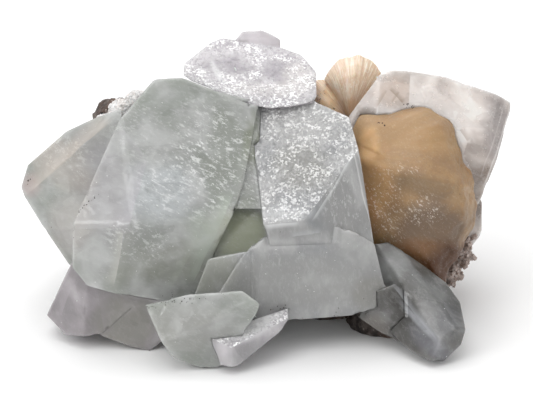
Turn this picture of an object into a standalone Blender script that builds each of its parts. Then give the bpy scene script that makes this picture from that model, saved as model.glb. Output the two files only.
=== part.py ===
"""Apophyllite cluster: blocky glassy crystals and two sprays of stilbite, grown together on basalt.

The specimen is drawn face-on, in millimetres: x to the right, z up, and "near" towards the viewer.
It then leans back by LEAN and stands on its basalt, which is cut flat underneath. The middle of the
drawing is RISE above that cut and FORWARD of the cut's own middle, which is the part's origin.
A crystal is given as its outline, seen face-on, and the faces that close its front. Its sides lean
in towards the back, as the sides of a crystal do that grew outwards.
"""

import math
from dataclasses import dataclass

import bmesh
import bpy
from mathutils import Matrix, Vector, noise

MM = 0.001
LEAN = math.radians(20.0)
RISE = 28.0
FORWARD = 8.0
GAP = 0.3
BLOCK = 240.0
MERGE = 0.002
GOLDEN_ANGLE = math.pi * (3.0 - math.sqrt(5.0))

STAND = Matrix.Translation((0.0, -FORWARD, RISE)) @ Matrix.Rotation(-LEAN, 4, "X")

# Colours as seen, linear: base colour, roughness, share of light let through
FINISHES = {
    "green_glass": ((0.56, 0.62, 0.55), 0.22, 0.5),
    "clear_grey_glass": ((0.52, 0.54, 0.55), 0.18, 0.6),
    "frosted_glass": ((0.60, 0.62, 0.61), 0.35, 0.4),
    "rose_glass": ((0.60, 0.56, 0.56), 0.25, 0.4),
    "peach_stilbite": ((0.56, 0.39, 0.24), 0.45, 0.1),
    "white_druse": ((0.70, 0.66, 0.64), 0.5, 0.1),
    "rose_druse": ((0.48, 0.38, 0.35), 0.45, 0.1),
    "basalt": ((0.075, 0.062, 0.055), 0.85, 0.0),
}


@dataclass(frozen=True)
class Crystal:
    """A convex crystal. A face is (x, z, near, slope to the right, slope upwards) at one of its points.

    A slope says how fast the face falls away from the viewer. The outline runs clockwise.
    """

    outline: tuple
    faces: tuple
    lean: float
    back: float
    rear: tuple = ()

    def near(self, x, z):
        """How near the front of the crystal is at a place in the drawing."""
        return min(
            near0 - right * (x - x0) - up * (z - z0) for x0, z0, near0, right, up in self.faces
        )

    def planes(self):
        """A point and an outward normal for each face of the crystal."""
        for x, z, near, right, up in self.faces:
            yield Vector((x, -near, z)), Vector((right, -1.0, up)).normalized()
        for x, z, near, right, up in self.rear:
            yield Vector((x, -near, z)), Vector((right, 1.0, up)).normalized()
        yield Vector((0.0, -self.back, 0.0)), Vector((0.0, 1.0, 0.0))
        lean = math.radians(self.lean)
        for first, second in zip(self.outline, self.outline[1:] + self.outline[:1]):
            start = Vector((first[0], -self.near(*first), first[1]))
            end = Vector((second[0], -self.near(*second), second[1]))
            along = (end - start).normalized()
            outward = along.cross(Vector((0.0, 1.0, 0.0))).normalized()
            forward = along.cross(outward).normalized()
            if forward.y > 0:
                forward.negate()
            yield start, (math.cos(lean) * outward - math.sin(lean) * forward).normalized()

    def mesh(self, grow=0.0):
        """The crystal as a bmesh: a block with everything outside its faces cut away."""
        body = bmesh.new()
        bmesh.ops.create_cube(body, size=BLOCK)
        for point, normal in self.planes():
            parts = body.verts[:] + body.edges[:] + body.faces[:]
            bmesh.ops.bisect_plane(
                body, geom=parts, plane_co=point + grow * normal, plane_no=normal, clear_outer=True
            )
            rim = [edge for edge in body.edges if edge.is_boundary]
            if rim:
                bmesh.ops.contextual_create(body, geom=rim)
        bmesh.ops.remove_doubles(body, verts=body.verts, dist=MERGE)
        bmesh.ops.dissolve_degenerate(body, dist=MERGE, edges=body.edges)
        return body


@dataclass(frozen=True)
class Spray:
    """A fan of blades spreading from a waist, with ribs that follow the blades.

    The reach is (direction, radius) around the fan, and the swell is (direction, height) of its front.
    """

    waist: tuple
    reach: tuple
    swell: tuple
    depth: float
    blades: int
    rings: int
    rib: float
    seed: float

    def mesh(self, grow=0.0):
        """The fan as a bmesh: two domed sheets of spokes and rings that meet at the rim."""
        body = bmesh.new()
        start, end = self.reach[0][0], self.reach[-1][0]
        spokes = 2 * self.blades
        centre_x, centre_z, centre_near = self.waist
        sheets = []
        for side in (1.0, -1.0):
            tip = body.verts.new((centre_x, -(centre_near + side * (1.0 + grow)), centre_z))
            sheet = [[tip] * (spokes + 1)]
            for ring in range(1, self.rings + 1):
                share = ring / self.rings
                row = []
                for spoke in range(spokes + 1):
                    turn = start + (end - start) * spoke / spokes
                    out = Vector((math.cos(math.radians(turn)), math.sin(math.radians(turn))))
                    blade = noise.noise(Vector((self.seed, spoke // 2 * 1.7, 0.0)))
                    rib = self.rib * (1.0 if spoke % 2 else -1.0) * (0.6 + 0.8 * abs(blade))
                    radius = between(self.reach, turn) * share * (1.0 + 0.05 * blade) + grow
                    edge = math.sin(math.pi * spoke / spokes) ** 0.4
                    height = between(self.swell, turn) if side > 0 else self.depth
                    dome = math.sin(math.pi * min(1.0, 0.12 + 0.88 * share) ** 1.7) ** 0.6
                    thick = max(0.0, height * dome + rib * share) * edge
                    if ring == self.rings or spoke in (0, spokes):
                        thick = 0.0
                    near = centre_near + side * (thick + grow)
                    row.append(
                        body.verts.new((centre_x + radius * out.x, -near, centre_z + radius * out.y))
                    )
                sheet.append(row)
            for inner, outer in zip(sheet, sheet[1:]):
                for spoke in range(spokes):
                    corners = [inner[spoke], outer[spoke], outer[spoke + 1], inner[spoke + 1]]
                    face_of(body, corners)
            sheets.append(sheet)
        front, behind = (rim_of(sheet) for sheet in sheets)
        for place in range(len(front)):
            follow = (place + 1) % len(front)
            face_of(body, [front[place], front[follow], behind[follow], behind[place]])
        bmesh.ops.remove_doubles(body, verts=body.verts, dist=MERGE)
        bmesh.ops.dissolve_degenerate(body, dist=MERGE, edges=body.edges)
        bmesh.ops.triangulate(body, faces=body.faces)
        bmesh.ops.recalc_face_normals(body, faces=body.faces)
        return body


@dataclass(frozen=True)
class Lump:
    """A rough lump of rock: a ball, stretched to its radii, chipped flat in places and roughened.

    A chip takes the ball down to a plane whose distance from the middle is a share of the radius.
    """

    centre: tuple
    radii: tuple
    detail: int
    coarse: float
    fine: float
    seed: float
    chips: int = 0
    chip_depth: float = 0.22

    def mesh(self, grow=0.0):
        """The lump as a bmesh, with each point moved out or in by smooth noise."""
        body = bmesh.new()
        bmesh.ops.create_icosphere(body, subdivisions=self.detail, radius=1.0)
        x, z, near = self.centre
        breaks = [
            (spread_way(count, self.chips), 1.0 - self.chip_depth * unit_noise(self.seed, count))
            for count in range(self.chips)
        ]
        for vertex in body.verts:
            way = vertex.co.normalized()
            place = way * 1.3 + Vector((self.seed, 0.0, 0.0))
            reach = 1.0 + self.coarse * noise.noise(place * 1.2)
            for facing, distance in breaks:
                toward = way.dot(facing)
                if toward > 0.0:
                    reach = min(reach, distance / toward)
            reach += self.fine * noise.noise(place * 5.0)
            stretched = Vector((way.x * self.radii[0], way.y * self.radii[2], way.z * self.radii[1]))
            vertex.co = Vector((x, -near, z)) + stretched * reach + way * grow
        bmesh.ops.recalc_face_normals(body, faces=body.faces)
        return body


@dataclass(frozen=True)
class Grain:
    """A small crystal of a crust: a tapered four-sided prism that points along its growth."""

    place: tuple
    way: tuple
    width: float
    length: float
    twist: float

    def mesh(self, grow=0.0):
        """The grain as a bmesh, turned to its direction of growth."""
        body = bmesh.new()
        bmesh.ops.create_cone(
            body,
            cap_ends=True,
            segments=4,
            radius1=self.width / 2.0 + grow,
            radius2=self.width / 4.0 + grow,
            depth=self.length + 2.0 * grow,
        )
        x, z, near = self.place
        way = Vector((self.way[0], -self.way[2], self.way[1])).normalized()
        turn = way.to_track_quat("Z", "Y").to_matrix().to_4x4()
        twist = Matrix.Rotation(math.radians(self.twist), 4, "Z")
        body.transform(Matrix.Translation((x, -near, z)) @ turn @ twist)
        return body


@dataclass(frozen=True)
class Piece:
    """A named piece of the cluster: the shapes that are one solid in it, and its finish."""

    name: str
    finish: str
    shapes: tuple


def spread_way(count, total):
    """One of a number of directions spread evenly over a ball, by the golden angle."""
    height = 1.0 - 2.0 * (count + 0.5) / total
    ring = math.sqrt(1.0 - height * height)
    turn = GOLDEN_ANGLE * count
    return Vector((ring * math.cos(turn), height, ring * math.sin(turn)))


def unit_noise(seed, count):
    """A value from 0 to 1 that is the same each run."""
    return 0.5 + 0.5 * noise.noise(Vector((seed + 0.37, 1.71 * count + 0.19, 0.53)))


def between(table, value):
    """The value read off a list of (position, value) pairs, with straight runs between them."""
    rows = sorted(table)
    for (low, first), (high, second) in zip(rows, rows[1:]):
        if value <= high:
            share = max(0.0, (value - low) / (high - low))
            return first + (second - first) * share
    return rows[-1][1]


def rim_of(sheet):
    """The outer edge of a sheet of a fan, from its tip, round its outermost ring and back."""
    down = [row[0] for row in sheet]
    back = [row[-1] for row in sheet[1:-1]]
    return down + sheet[-1][1:] + back[::-1]


def face_of(body, corners):
    """A face through the corners, left out where two or more of them are one."""
    different = list(dict.fromkeys(corners))
    if len(different) > 2 and body.faces.get(different) is None:
        body.faces.new(different)


# The point of each larger crystal where its front faces meet
GREAT_PEAK = (-30.0, -6.0, 28.0)
LEFT_PEAK = (-58.5, 1.0, 5.0)
MIDDLE_PEAK = (4.5, -5.0, 27.0)
SMALL_FOOT_PEAK = (-8.0, -33.5, 30.0)
LOWER_RIGHT_PEAK = (40.0, -32.0, 26.0)

GREAT = (
    Crystal(
        outline=(
            (-26.5, 28.5), (-20.0, 29.0), (-2.0, 22.0), (-5.0, 4.5), (-18.0, -24.5),
            (-36.0, -21.5), (-41.5, -20.0), (-45.0, -15.5), (-44.5, -5.5), (-34.5, 18.5),
        ),
        faces=(
            (*GREAT_PEAK, 0.14, 0.38), (*GREAT_PEAK, -0.21, 0.32),
            (*GREAT_PEAK, -0.22, -0.34), (*GREAT_PEAK, 0.25, -0.5),
        ),
        lean=10.0,
        back=-22.0,
        rear=((-30.0, 10.0, -20.0, -0.3, 0.5), (-30.0, 0.0, -19.0, -0.5, -0.1)),
    ),
    Crystal(
        outline=((-14.5, 26.5), (-2.0, 23.0), (1.5, 19.5), (3.5, -2.0), (-14.5, -2.0)),
        faces=((-8.0, -2.0, 22.4, 0.16, 0.36), (-3.5, 20.0, 13.8, 0.85, 0.55)),
        lean=6.0,
        back=-16.0,
    ),
)
LEFT = (
    Crystal(
        outline=(
            (-59.5, 3.0), (-58.0, 8.5), (-48.0, 16.5), (-40.5, 19.5), (-34.0, 21.5), (-33.0, -12.0),
            (-40.0, -21.5), (-47.5, -15.5), (-54.5, -5.5), (-58.5, 1.0),
        ),
        faces=((*LEFT_PEAK, -0.38, -0.16), (*LEFT_PEAK, -0.86, 0.42), (-49.5, -6.0, 9.0, -0.42, -0.32)),
        lean=10.0,
        back=-24.0,
        rear=((-50.0, 5.0, -20.0, -0.6, 0.2), (-46.0, -4.0, -21.0, -0.2, -0.5)),
    ),
)
LOWER_LEFT = (
    Crystal(
        outline=(
            (-45.0, -13.0), (-34.0, -15.0), (-29.5, -23.5), (-38.5, -31.5), (-47.5, -32.0),
            (-52.5, -27.5),
        ),
        faces=((-37.0, -28.0, 17.0, 0.05, -0.15), (-43.5, -19.0, 17.5, -0.8, -0.1)),
        lean=10.0,
        back=-18.0,
    ),
    Crystal(
        outline=(
            (-36.0, -20.0), (-27.0, -16.5), (-22.0, -22.0), (-23.5, -32.5), (-27.5, -35.5),
            (-32.0, -34.5), (-40.0, -31.5),
        ),
        faces=((-37.5, -29.5, 16.5, 0.0, -0.15),),
        lean=12.0,
        back=-14.0,
    ),
)
FOOT = (
    Crystal(
        outline=(
            (-28.0, -24.0), (-18.0, -21.5), (-5.5, -20.5), (-1.5, -23.5), (-2.0, -25.5),
            (-7.0, -33.0), (-11.0, -38.5), (-15.0, -38.5), (-21.5, -36.0), (-25.0, -30.0),
        ),
        faces=((-19.5, -28.5, 29.5, -0.15, 0.25), (-14.0, -28.5, 30.0, 0.15, -0.45)),
        lean=12.0,
        back=4.0,
    ),
)
SMALL_FOOT = (
    Crystal(
        outline=(
            (-12.5, -31.5), (-9.0, -29.5), (-3.0, -27.5), (5.0, -25.0), (5.0, -27.8),
            (3.0, -30.5), (-6.5, -37.8), (-10.5, -37.8),
        ),
        faces=((*SMALL_FOOT_PEAK, 0.0, 1.0), (*SMALL_FOOT_PEAK, 0.56, -0.17), (*SMALL_FOOT_PEAK, -0.51, -0.2)),
        lean=10.0,
        back=14.0,
    ),
)
LOWER_RIGHT = (
    Crystal(
        outline=(
            (25.0, -10.5), (29.0, -10.0), (38.0, -16.0), (42.5, -19.5), (45.5, -24.0),
            (46.0, -30.0), (45.0, -33.5), (40.5, -37.5), (33.5, -35.0), (30.5, -32.5), (24.5, -23.5),
        ),
        faces=(
            (*LOWER_RIGHT_PEAK, -0.79, 0.2), (*LOWER_RIGHT_PEAK, -0.04, 0.69),
            (44.0, -31.0, 26.0, 0.75, 1.2), (*LOWER_RIGHT_PEAK, 0.62, -0.35),
        ),
        lean=12.0,
        back=-20.0,
    ),
)
SMALL_GREY = (
    Crystal(
        outline=(
            (21.5, -27.5), (24.5, -22.0), (30.0, -19.5), (34.5, -23.5), (34.0, -34.0),
            (30.5, -32.8), (26.5, -31.0),
        ),
        faces=((28.5, -24.5, 19.0, -0.25, -0.3), (30.0, -23.5, 19.0, 0.35, 0.2)),
        lean=10.0,
        back=4.0,
    ),
)
MIDDLE = (
    Crystal(
        outline=(
            (-4.0, 24.0), (5.5, 25.5), (12.5, 23.0), (20.0, 19.5), (22.0, 9.5), (25.5, -10.0),
            (14.5, -12.5), (0.5, -11.0),
        ),
        faces=(
            (*MIDDLE_PEAK, -0.05, 0.6), (8.5, -4.5, 27.0, 0.47, 0.19), (*MIDDLE_PEAK, 0.02, -0.35),
        ),
        lean=8.0,
        back=-20.0,
    ),
    Crystal(
        outline=(
            (-12.0, -23.0), (-6.5, -14.0), (-2.5, -9.5), (2.0, -6.5), (17.0, -6.0), (25.0, -10.0),
            (28.0, -21.5), (26.5, -24.5), (20.0, -27.0), (7.0, -28.0), (-9.0, -28.5),
        ),
        faces=(
            (7.5, -11.5, 25.4, 0.05, -0.4), (19.5, -14.0, 23.8, 0.5, -0.25), (7.5, -11.5, 25.4, 0.0, 0.25),
        ),
        lean=12.0,
        back=-14.0,
    ),
    Crystal(
        outline=((-13.5, -13.5), (-3.5, -11.5), (-2.5, -27.5), (-19.0, -27.5)),
        faces=((-9.5, -17.5, 22.4, -0.2, -0.4),),
        lean=10.0,
        back=-14.0,
    ),
)
NOTCH = (
    Crystal(
        outline=((-14.5, 1.5), (3.0, 1.5), (3.0, -15.5), (-16.0, -16.0)),
        faces=((-6.5, -7.0, 18.5, -0.25, 0.3), (-6.5, -7.0, 18.5, 0.15, -0.1)),
        lean=0.0,
        back=-10.0,
    ),
)
TOP = (
    Crystal(
        outline=(
            (-20.0, 30.0), (-20.0, 33.0), (-14.0, 38.5), (-11.0, 40.0), (3.5, 37.5), (8.5, 35.5),
            (12.0, 31.0), (12.0, 24.5), (10.5, 23.0), (5.5, 22.0), (0.5, 21.5), (-7.0, 24.0),
            (-18.0, 28.5),
        ),
        faces=((0.5, 21.5, 14.0, 0.05, 1.05),),
        lean=6.0,
        back=-22.0,
        rear=((-4.0, 26.0, -19.0, 0.0, -0.7),),
    ),
)
TOP_BACK = (
    Crystal(
        outline=(
            (-8.0, 39.5), (-6.0, 42.0), (-1.5, 42.5), (1.0, 41.5), (3.5, 40.0), (3.5, 34.0), (-6.5, 32.5),
        ),
        faces=((-2.0, 38.5, -8.0, 0.1, 0.4),),
        lean=14.0,
        back=-19.0,
    ),
)
RIGHT = (
    Crystal(
        outline=(
            (19.0, 19.0), (27.5, 30.5), (30.5, 31.5), (34.5, 31.3), (43.5, 30.0), (51.0, 27.5),
            (58.0, 25.0), (60.0, 24.0), (60.0, 21.0), (56.0, 9.5), (52.5, 0.0), (42.0, -11.0),
            (22.5, -3.5),
        ),
        faces=(
            (49.5, 22.0, 2.0, 0.15, 0.2), (34.0, 26.5, 6.5, -0.3, 0.25),
            (59.5, 22.0, -2.5, 0.9, 0.05), (49.5, 14.5, 3.5, 0.25, -0.15),
        ),
        lean=8.0,
        back=-28.0,
        rear=((50.0, 10.0, -22.0, 0.5, 0.2), (44.0, 10.0, -25.0, 0.1, -0.4)),
    ),
    Crystal(
        outline=((42.5, 1.0), (52.5, 1.0), (53.5, -0.5), (53.5, -8.0), (51.0, -11.0), (42.5, -12.5)),
        faces=((51.5, -3.5, -6.0, 0.5, -0.1),),
        lean=10.0,
        back=-24.0,
    ),
)
SHEAF = (
    Spray(
        waist=(17.5, 10.0, 4.0),
        reach=(
            (-72.0, 24.0), (-59.0, 30.5), (-50.0, 40.0), (-41.0, 37.5), (-35.0, 37.5), (-20.0, 36.0),
            (-14.0, 34.5), (-2.0, 31.0), (8.0, 28.5), (17.0, 29.0), (23.0, 27.5), (32.0, 23.5),
            (41.0, 16.5), (66.0, 11.5),
        ),
        swell=((-72.0, 8.0), (-45.0, 9.0), (-14.0, 13.0), (20.0, 8.0), (66.0, 4.0)),
        depth=9.0,
        blades=22,
        rings=8,
        rib=0.2,
        seed=3.0,
    ),
)
BUD = (
    Spray(
        waist=(20.5, 20.0, -5.0),
        reach=((50.0, 12.5), (57.0, 14.0), (70.0, 15.5), (83.0, 16.0), (93.0, 15.5), (106.0, 14.0), (124.0, 11.5)),
        swell=((50.0, 3.0), (88.0, 6.0), (124.0, 4.0)),
        depth=5.0,
        blades=12,
        rings=6,
        rib=0.3,
        seed=8.0,
    ),
    Spray(
        waist=(22.0, 17.5, -8.0),
        reach=((105.0, 13.0), (121.0, 14.5), (130.0, 16.0), (150.0, 13.0), (175.0, 12.0)),
        swell=((105.0, 4.0), (140.0, 5.0), (175.0, 4.0)),
        depth=6.0,
        blades=8,
        rings=5,
        rib=0.2,
        seed=5.0,
    ),
)
MATRIX = (
    Lump(
        centre=(2.0, -3.0, -17.0), radii=(50.0, 32.0, 22.0), detail=4,
        coarse=0.14, fine=0.07, seed=2.0, chips=26, chip_depth=0.32,
    ),
    Lump(
        centre=(16.0, -26.0, -15.0), radii=(18.0, 13.0, 13.5), detail=3,
        coarse=0.10, fine=0.08, seed=5.0, chips=12, chip_depth=0.12,
    ),
    Lump(
        centre=(30.0, -29.0, -3.0), radii=(11.5, 11.0, 13.0), detail=3,
        coarse=0.10, fine=0.10, seed=6.0, chips=10, chip_depth=0.12,
    ),
    Lump(
        centre=(-38.0, 20.0, -15.0), radii=(6.0, 6.0, 10.0), detail=3,
        coarse=0.12, fine=0.10, seed=9.0, chips=12,
    ),
    Lump(
        centre=(-31.0, 10.0, -22.0), radii=(15.0, 14.0, 13.0), detail=3,
        coarse=0.12, fine=0.08, seed=7.0, chips=14, chip_depth=0.3,
    ),
)


def crust(lumps, grains, width, seed):
    """A crust: lumps that run into each other, with small crystals standing on each of them."""
    shapes = []
    for number, (centre, radii) in enumerate(lumps):
        shapes.append(
            Lump(centre=centre, radii=radii, detail=2, coarse=0.10, fine=0.08, seed=seed + number)
        )
        for count in range(grains):
            way = spread_way(count, grains)
            size = width * (0.7 + 0.6 * unit_noise(seed + number, count))
            place = tuple(
                middle + 0.88 * part * radius
                for middle, part, radius in zip(centre, (way.x, way.z, -way.y), radii)
            )
            twist = 37.0 * count
            shapes.append(Grain(place, (way.x, way.z, -way.y), size, 1.3 * size, twist))
    return tuple(shapes)


WHITE_DRUSE = crust(
    lumps=(
        ((-39.5, 19.5, -9.0), (3.0, 2.6, 5.5)),
        ((-36.0, 22.0, -8.0), (3.6, 3.0, 6.5)),
        ((-32.0, 24.5, -7.0), (3.4, 2.6, 6.0)),
    ),
    grains=12,
    width=1.5,
    seed=4.0,
)
ROSE_DRUSE = crust(
    lumps=(((46.5, -11.0, -8.0), (4.2, 4.6, 8.0)), ((44.0, -16.0, -9.0), (4.0, 4.6, 8.0))),
    grains=14,
    width=4.4,
    seed=6.0,
)

# Front first: a piece is cut back wherever one before it in this list already is
PIECES = (
    Piece("small_foot_crystal", "frosted_glass", SMALL_FOOT),
    Piece("foot_crystal", "green_glass", FOOT),
    Piece("top_crystal", "frosted_glass", TOP),
    Piece("middle_crystal", "frosted_glass", MIDDLE),
    Piece("great_green_crystal", "green_glass", GREAT),
    Piece("lower_right_crystal", "clear_grey_glass", LOWER_RIGHT),
    Piece("small_grey_crystal", "clear_grey_glass", SMALL_GREY),
    Piece("stilbite_sheaf", "peach_stilbite", SHEAF),
    Piece("stilbite_bud", "peach_stilbite", BUD),
    Piece("right_crystal", "rose_glass", RIGHT),
    Piece("lower_left_crystal", "clear_grey_glass", LOWER_LEFT),
    Piece("left_crystal", "green_glass", LEFT),
    Piece("top_back_crystal", "clear_grey_glass", TOP_BACK),
    Piece("notch_crystal", "green_glass", NOTCH),
    Piece("white_druse", "white_druse", WHITE_DRUSE),
    Piece("rose_druse", "rose_druse", ROSE_DRUSE),
    Piece("basalt_matrix", "basalt", MATRIX),
)


def clear_scene():
    """Take every object out of the scene."""
    for obj in list(bpy.data.objects):
        bpy.data.objects.remove(obj, do_unlink=True)


def finish_of(name):
    """The material of a finish, made once."""
    if name in bpy.data.materials:
        return bpy.data.materials[name]
    colour, roughness, clear = FINISHES[name]
    material = bpy.data.materials.new(name)
    material.use_nodes = True
    shader = material.node_tree.nodes["Principled BSDF"]
    shader.inputs["Base Color"].default_value = (*colour, 1.0)
    shader.inputs["Roughness"].default_value = roughness
    shader.inputs["Metallic"].default_value = 0.0
    shader.inputs["Transmission Weight"].default_value = clear
    shader.inputs["IOR"].default_value = 1.535
    return material


def object_of(name, body):
    """An object in the scene that holds a bmesh, which is freed."""
    mesh = bpy.data.meshes.new(name)
    body.to_mesh(mesh)
    body.free()
    obj = bpy.data.objects.new(name, mesh)
    bpy.context.collection.objects.link(obj)
    return obj


def combine(obj, other_body, operation):
    """Join another body to an object's mesh or cut it away, and keep the result as the mesh."""
    other = object_of(obj.name + "_" + operation.lower(), other_body)
    other.hide_render = True
    other.display_type = "WIRE"
    modifier = obj.modifiers.new(operation, "BOOLEAN")
    modifier.operation = operation
    modifier.solver = "EXACT"
    modifier.object = other
    graph = bpy.context.evaluated_depsgraph_get()
    result = bpy.data.meshes.new_from_object(obj.evaluated_get(graph))
    obj.modifiers.clear()
    old = obj.data
    obj.data = result
    bpy.data.meshes.remove(old)
    bpy.data.objects.remove(other, do_unlink=True)


def span(body):
    """The lowest and highest corner of a bmesh."""
    corners = [vertex.co for vertex in body.verts]
    low = Vector(min(corner[axis] for corner in corners) for axis in range(3))
    high = Vector(max(corner[axis] for corner in corners) for axis in range(3))
    return low, high


def reaches(obj, body):
    """Whether a body's box meets the box of an object's mesh."""
    low, high = span(body)
    own = [vertex.co for vertex in obj.data.vertices]
    return all(
        min(corner[axis] for corner in own) < high[axis] and max(corner[axis] for corner in own) > low[axis]
        for axis in range(3)
    )


def keep_main_body(body):
    """Drop the chips that a cut leaves, and keep the piece that holds the most."""
    islands = []
    seen = set()
    for first in body.verts:
        if first in seen:
            continue
        island, queue = set(), [first]
        while queue:
            vertex = queue.pop()
            if vertex in island:
                continue
            island.add(vertex)
            queue.extend(edge.other_vert(vertex) for edge in vertex.link_edges)
        seen |= island
        islands.append(island)
    largest = max(islands, key=island_size)
    bmesh.ops.delete(body, geom=[vertex for vertex in body.verts if vertex not in largest], context="VERTS")


def island_size(island):
    """The volume of the box around a set of vertices."""
    size = 1.0
    for axis in range(3):
        places = [vertex.co[axis] for vertex in island]
        size *= max(places) - min(places)
    return size


def cut_at_surface(body):
    """Cut off what would reach below the surface that the cluster stands on."""
    ground = STAND.inverted()
    point = ground @ Vector((0.0, 0.0, 0.0))
    normal = ground.to_3x3() @ Vector((0.0, 0.0, -1.0))
    parts = body.verts[:] + body.edges[:] + body.faces[:]
    bmesh.ops.bisect_plane(body, geom=parts, plane_co=point, plane_no=normal, clear_outer=True)
    rim = [edge for edge in body.edges if edge.is_boundary]
    if rim:
        bmesh.ops.edgeloop_fill(body, edges=rim)


def tidy(obj):
    """Trim the mesh at the surface, drop its chips, and stand it up at its real size."""
    body = bmesh.new()
    body.from_mesh(obj.data)
    bmesh.ops.remove_doubles(body, verts=body.verts, dist=MERGE)
    bmesh.ops.dissolve_degenerate(body, dist=MERGE, edges=body.edges)
    cut_at_surface(body)
    keep_main_body(body)
    bmesh.ops.triangulate(body, faces=body.faces)
    bmesh.ops.recalc_face_normals(body, faces=body.faces)
    body.transform(Matrix.Scale(MM, 4) @ STAND)
    body.to_mesh(obj.data)
    body.free()


def grow_piece(piece, earlier):
    """Make a piece: join its shapes and cut it back from the pieces that were there before it."""
    first, *others = piece.shapes
    obj = object_of(piece.name, first.mesh())
    for shape in others:
        combine(obj, shape.mesh(), "UNION")
    for shape in earlier:
        cutter = shape.mesh(GAP)
        if reaches(obj, cutter):
            combine(obj, cutter, "DIFFERENCE")
        else:
            cutter.free()
    tidy(obj)
    obj.data.materials.clear()
    obj.data.materials.append(finish_of(piece.finish))
    return obj


def main():
    """Grow the pieces in order, the front ones first."""
    clear_scene()
    earlier = []
    for piece in PIECES:
        grow_piece(piece, earlier)
        earlier.extend(piece.shapes)


if __name__ == "__main__":
    main()
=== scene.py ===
"""The looks of an apophyllite cluster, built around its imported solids.

The specimen is drawn face-on, in millimetres: x to the right, z up and "near" towards the viewer. It
leans back by LEAN on its flat-cut basalt, and the middle of the drawing is at STAND. Sizes are in
millimetres and turn into metres where a mesh is made. Colours are given as seen and turned to linear.
"""

import logging
import math
from dataclasses import dataclass, field
from enum import Enum
from functools import partial, reduce
from typing import Any

import bmesh
import bpy
import numpy as np
from mathutils import Matrix, Vector
from mathutils.bvhtree import BVHTree
from mathutils.geometry import delaunay_2d_cdt


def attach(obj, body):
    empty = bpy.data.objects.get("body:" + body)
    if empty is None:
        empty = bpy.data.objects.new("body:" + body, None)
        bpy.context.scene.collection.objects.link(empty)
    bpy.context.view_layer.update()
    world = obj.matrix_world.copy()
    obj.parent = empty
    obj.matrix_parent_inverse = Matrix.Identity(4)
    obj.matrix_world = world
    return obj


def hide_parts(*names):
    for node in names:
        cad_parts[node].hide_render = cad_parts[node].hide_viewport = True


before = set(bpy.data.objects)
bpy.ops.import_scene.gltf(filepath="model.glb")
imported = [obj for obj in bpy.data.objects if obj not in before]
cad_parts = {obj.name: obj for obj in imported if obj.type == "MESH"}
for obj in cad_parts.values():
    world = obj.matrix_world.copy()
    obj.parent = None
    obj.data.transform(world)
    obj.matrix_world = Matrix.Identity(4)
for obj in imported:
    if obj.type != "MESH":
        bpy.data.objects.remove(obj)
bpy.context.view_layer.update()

LOG = logging.getLogger("cluster")
MM = 0.001
LEAN = math.radians(20.0)
MIDDLE = (0.0, -8.0, 28.0)
STAND = Matrix.Translation(MIDDLE) @ Matrix.Rotation(-LEAN, 4, "X")
BODY = "root"

# Refractive index of apophyllite, which is also the top of the range for stilbite and quartz
CRYSTAL_IOR = 1.535
STILBITE_IOR = 1.5
ROCK_IOR = 1.5

# Millimetres: how deep a face is pushed into a piece that it touches, how high the flat cut may lie
# above the floor, and a distance that stands for out of reach
PUSH = 0.18
FLOOR_TOUCH = 0.02
FAR = 9.0
# How far a colour reaches through a crystal, in millimetres
THROUGH = 1000.0

Colour = tuple[float, float, float]
Place = tuple[float, float, float]
Spread = tuple[float, float]
Object = bpy.types.Object
Mesh = bpy.types.Mesh
Socket = bpy.types.NodeSocket
Tree = bpy.types.NodeTree


def seen(red: float, green: float, blue: float) -> Colour:
    """A colour as seen, its parts from 0 to 255, as linear light."""
    shares = (value / 255.0 for value in (red, green, blue))
    return tuple(s / 12.92 if s <= 0.04045 else ((s + 0.055) / 1.055) ** 2.4 for s in shares)


def drawn(x: float, z: float, near: float) -> Vector:
    """A place of the drawing as a place on the standing specimen, in millimetres."""
    return STAND @ Vector((x, -near, z))


def smooth(values: np.ndarray, low: float, high: float) -> np.ndarray:
    """Values taken from 0 at low to 1 at high along a soft curve.

    Args:
        values: the values.
        low: where the curve starts.
        high: where it ends, which may be below low.

    Returns:
        The shares.
    """
    share = np.clip((values - low) / (high - low), 0.0, 1.0)
    return share * share * (3.0 - 2.0 * share)


def lattice_noise(points: np.ndarray, seed: int) -> np.ndarray:
    """Smooth noise between random values on a lattice of unit cells.

    Args:
        points: places, one row each.
        seed: chooses the random values.

    Returns:
        A value from -1 to 1 for each place.
    """
    cells = np.floor(points).astype(np.int64)
    part = points - cells
    part = part * part * (3.0 - 2.0 * part)
    total = np.zeros(len(points))
    for corner in range(8):
        step = np.array([corner & 1, corner >> 1 & 1, corner >> 2 & 1])
        key = (cells + step) @ np.array([73856093, 19349663, 83492791]) + seed * 2654435761
        key = (key ^ key >> 13) * 1274126177 & 0xFFFFFFFF
        value = ((key ^ key >> 16) & 0xFFFF) / 32767.5 - 1.0
        total += value * np.prod(np.where(step, part, 1.0 - part), axis=1)
    return total


def layered_noise(points: np.ndarray, size: float, seed: int, octaves: int = 3) -> np.ndarray:
    """Noise of several sizes, each half as large and half as strong as the one before.

    Args:
        points: places in millimetres, one row each.
        size: the size of the largest cells, in millimetres.
        seed: chooses the random values.
        octaves: how many sizes are laid over each other.

    Returns:
        A value of about -1 to 1 for each place.
    """
    total = np.zeros(len(points))
    for octave in range(octaves):
        total += lattice_noise(points * (2.0**octave / size) + 17.3 * octave, seed + octave) * 0.5**octave
    return total / (2.0 - 0.5 ** (octaves - 1))


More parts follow.
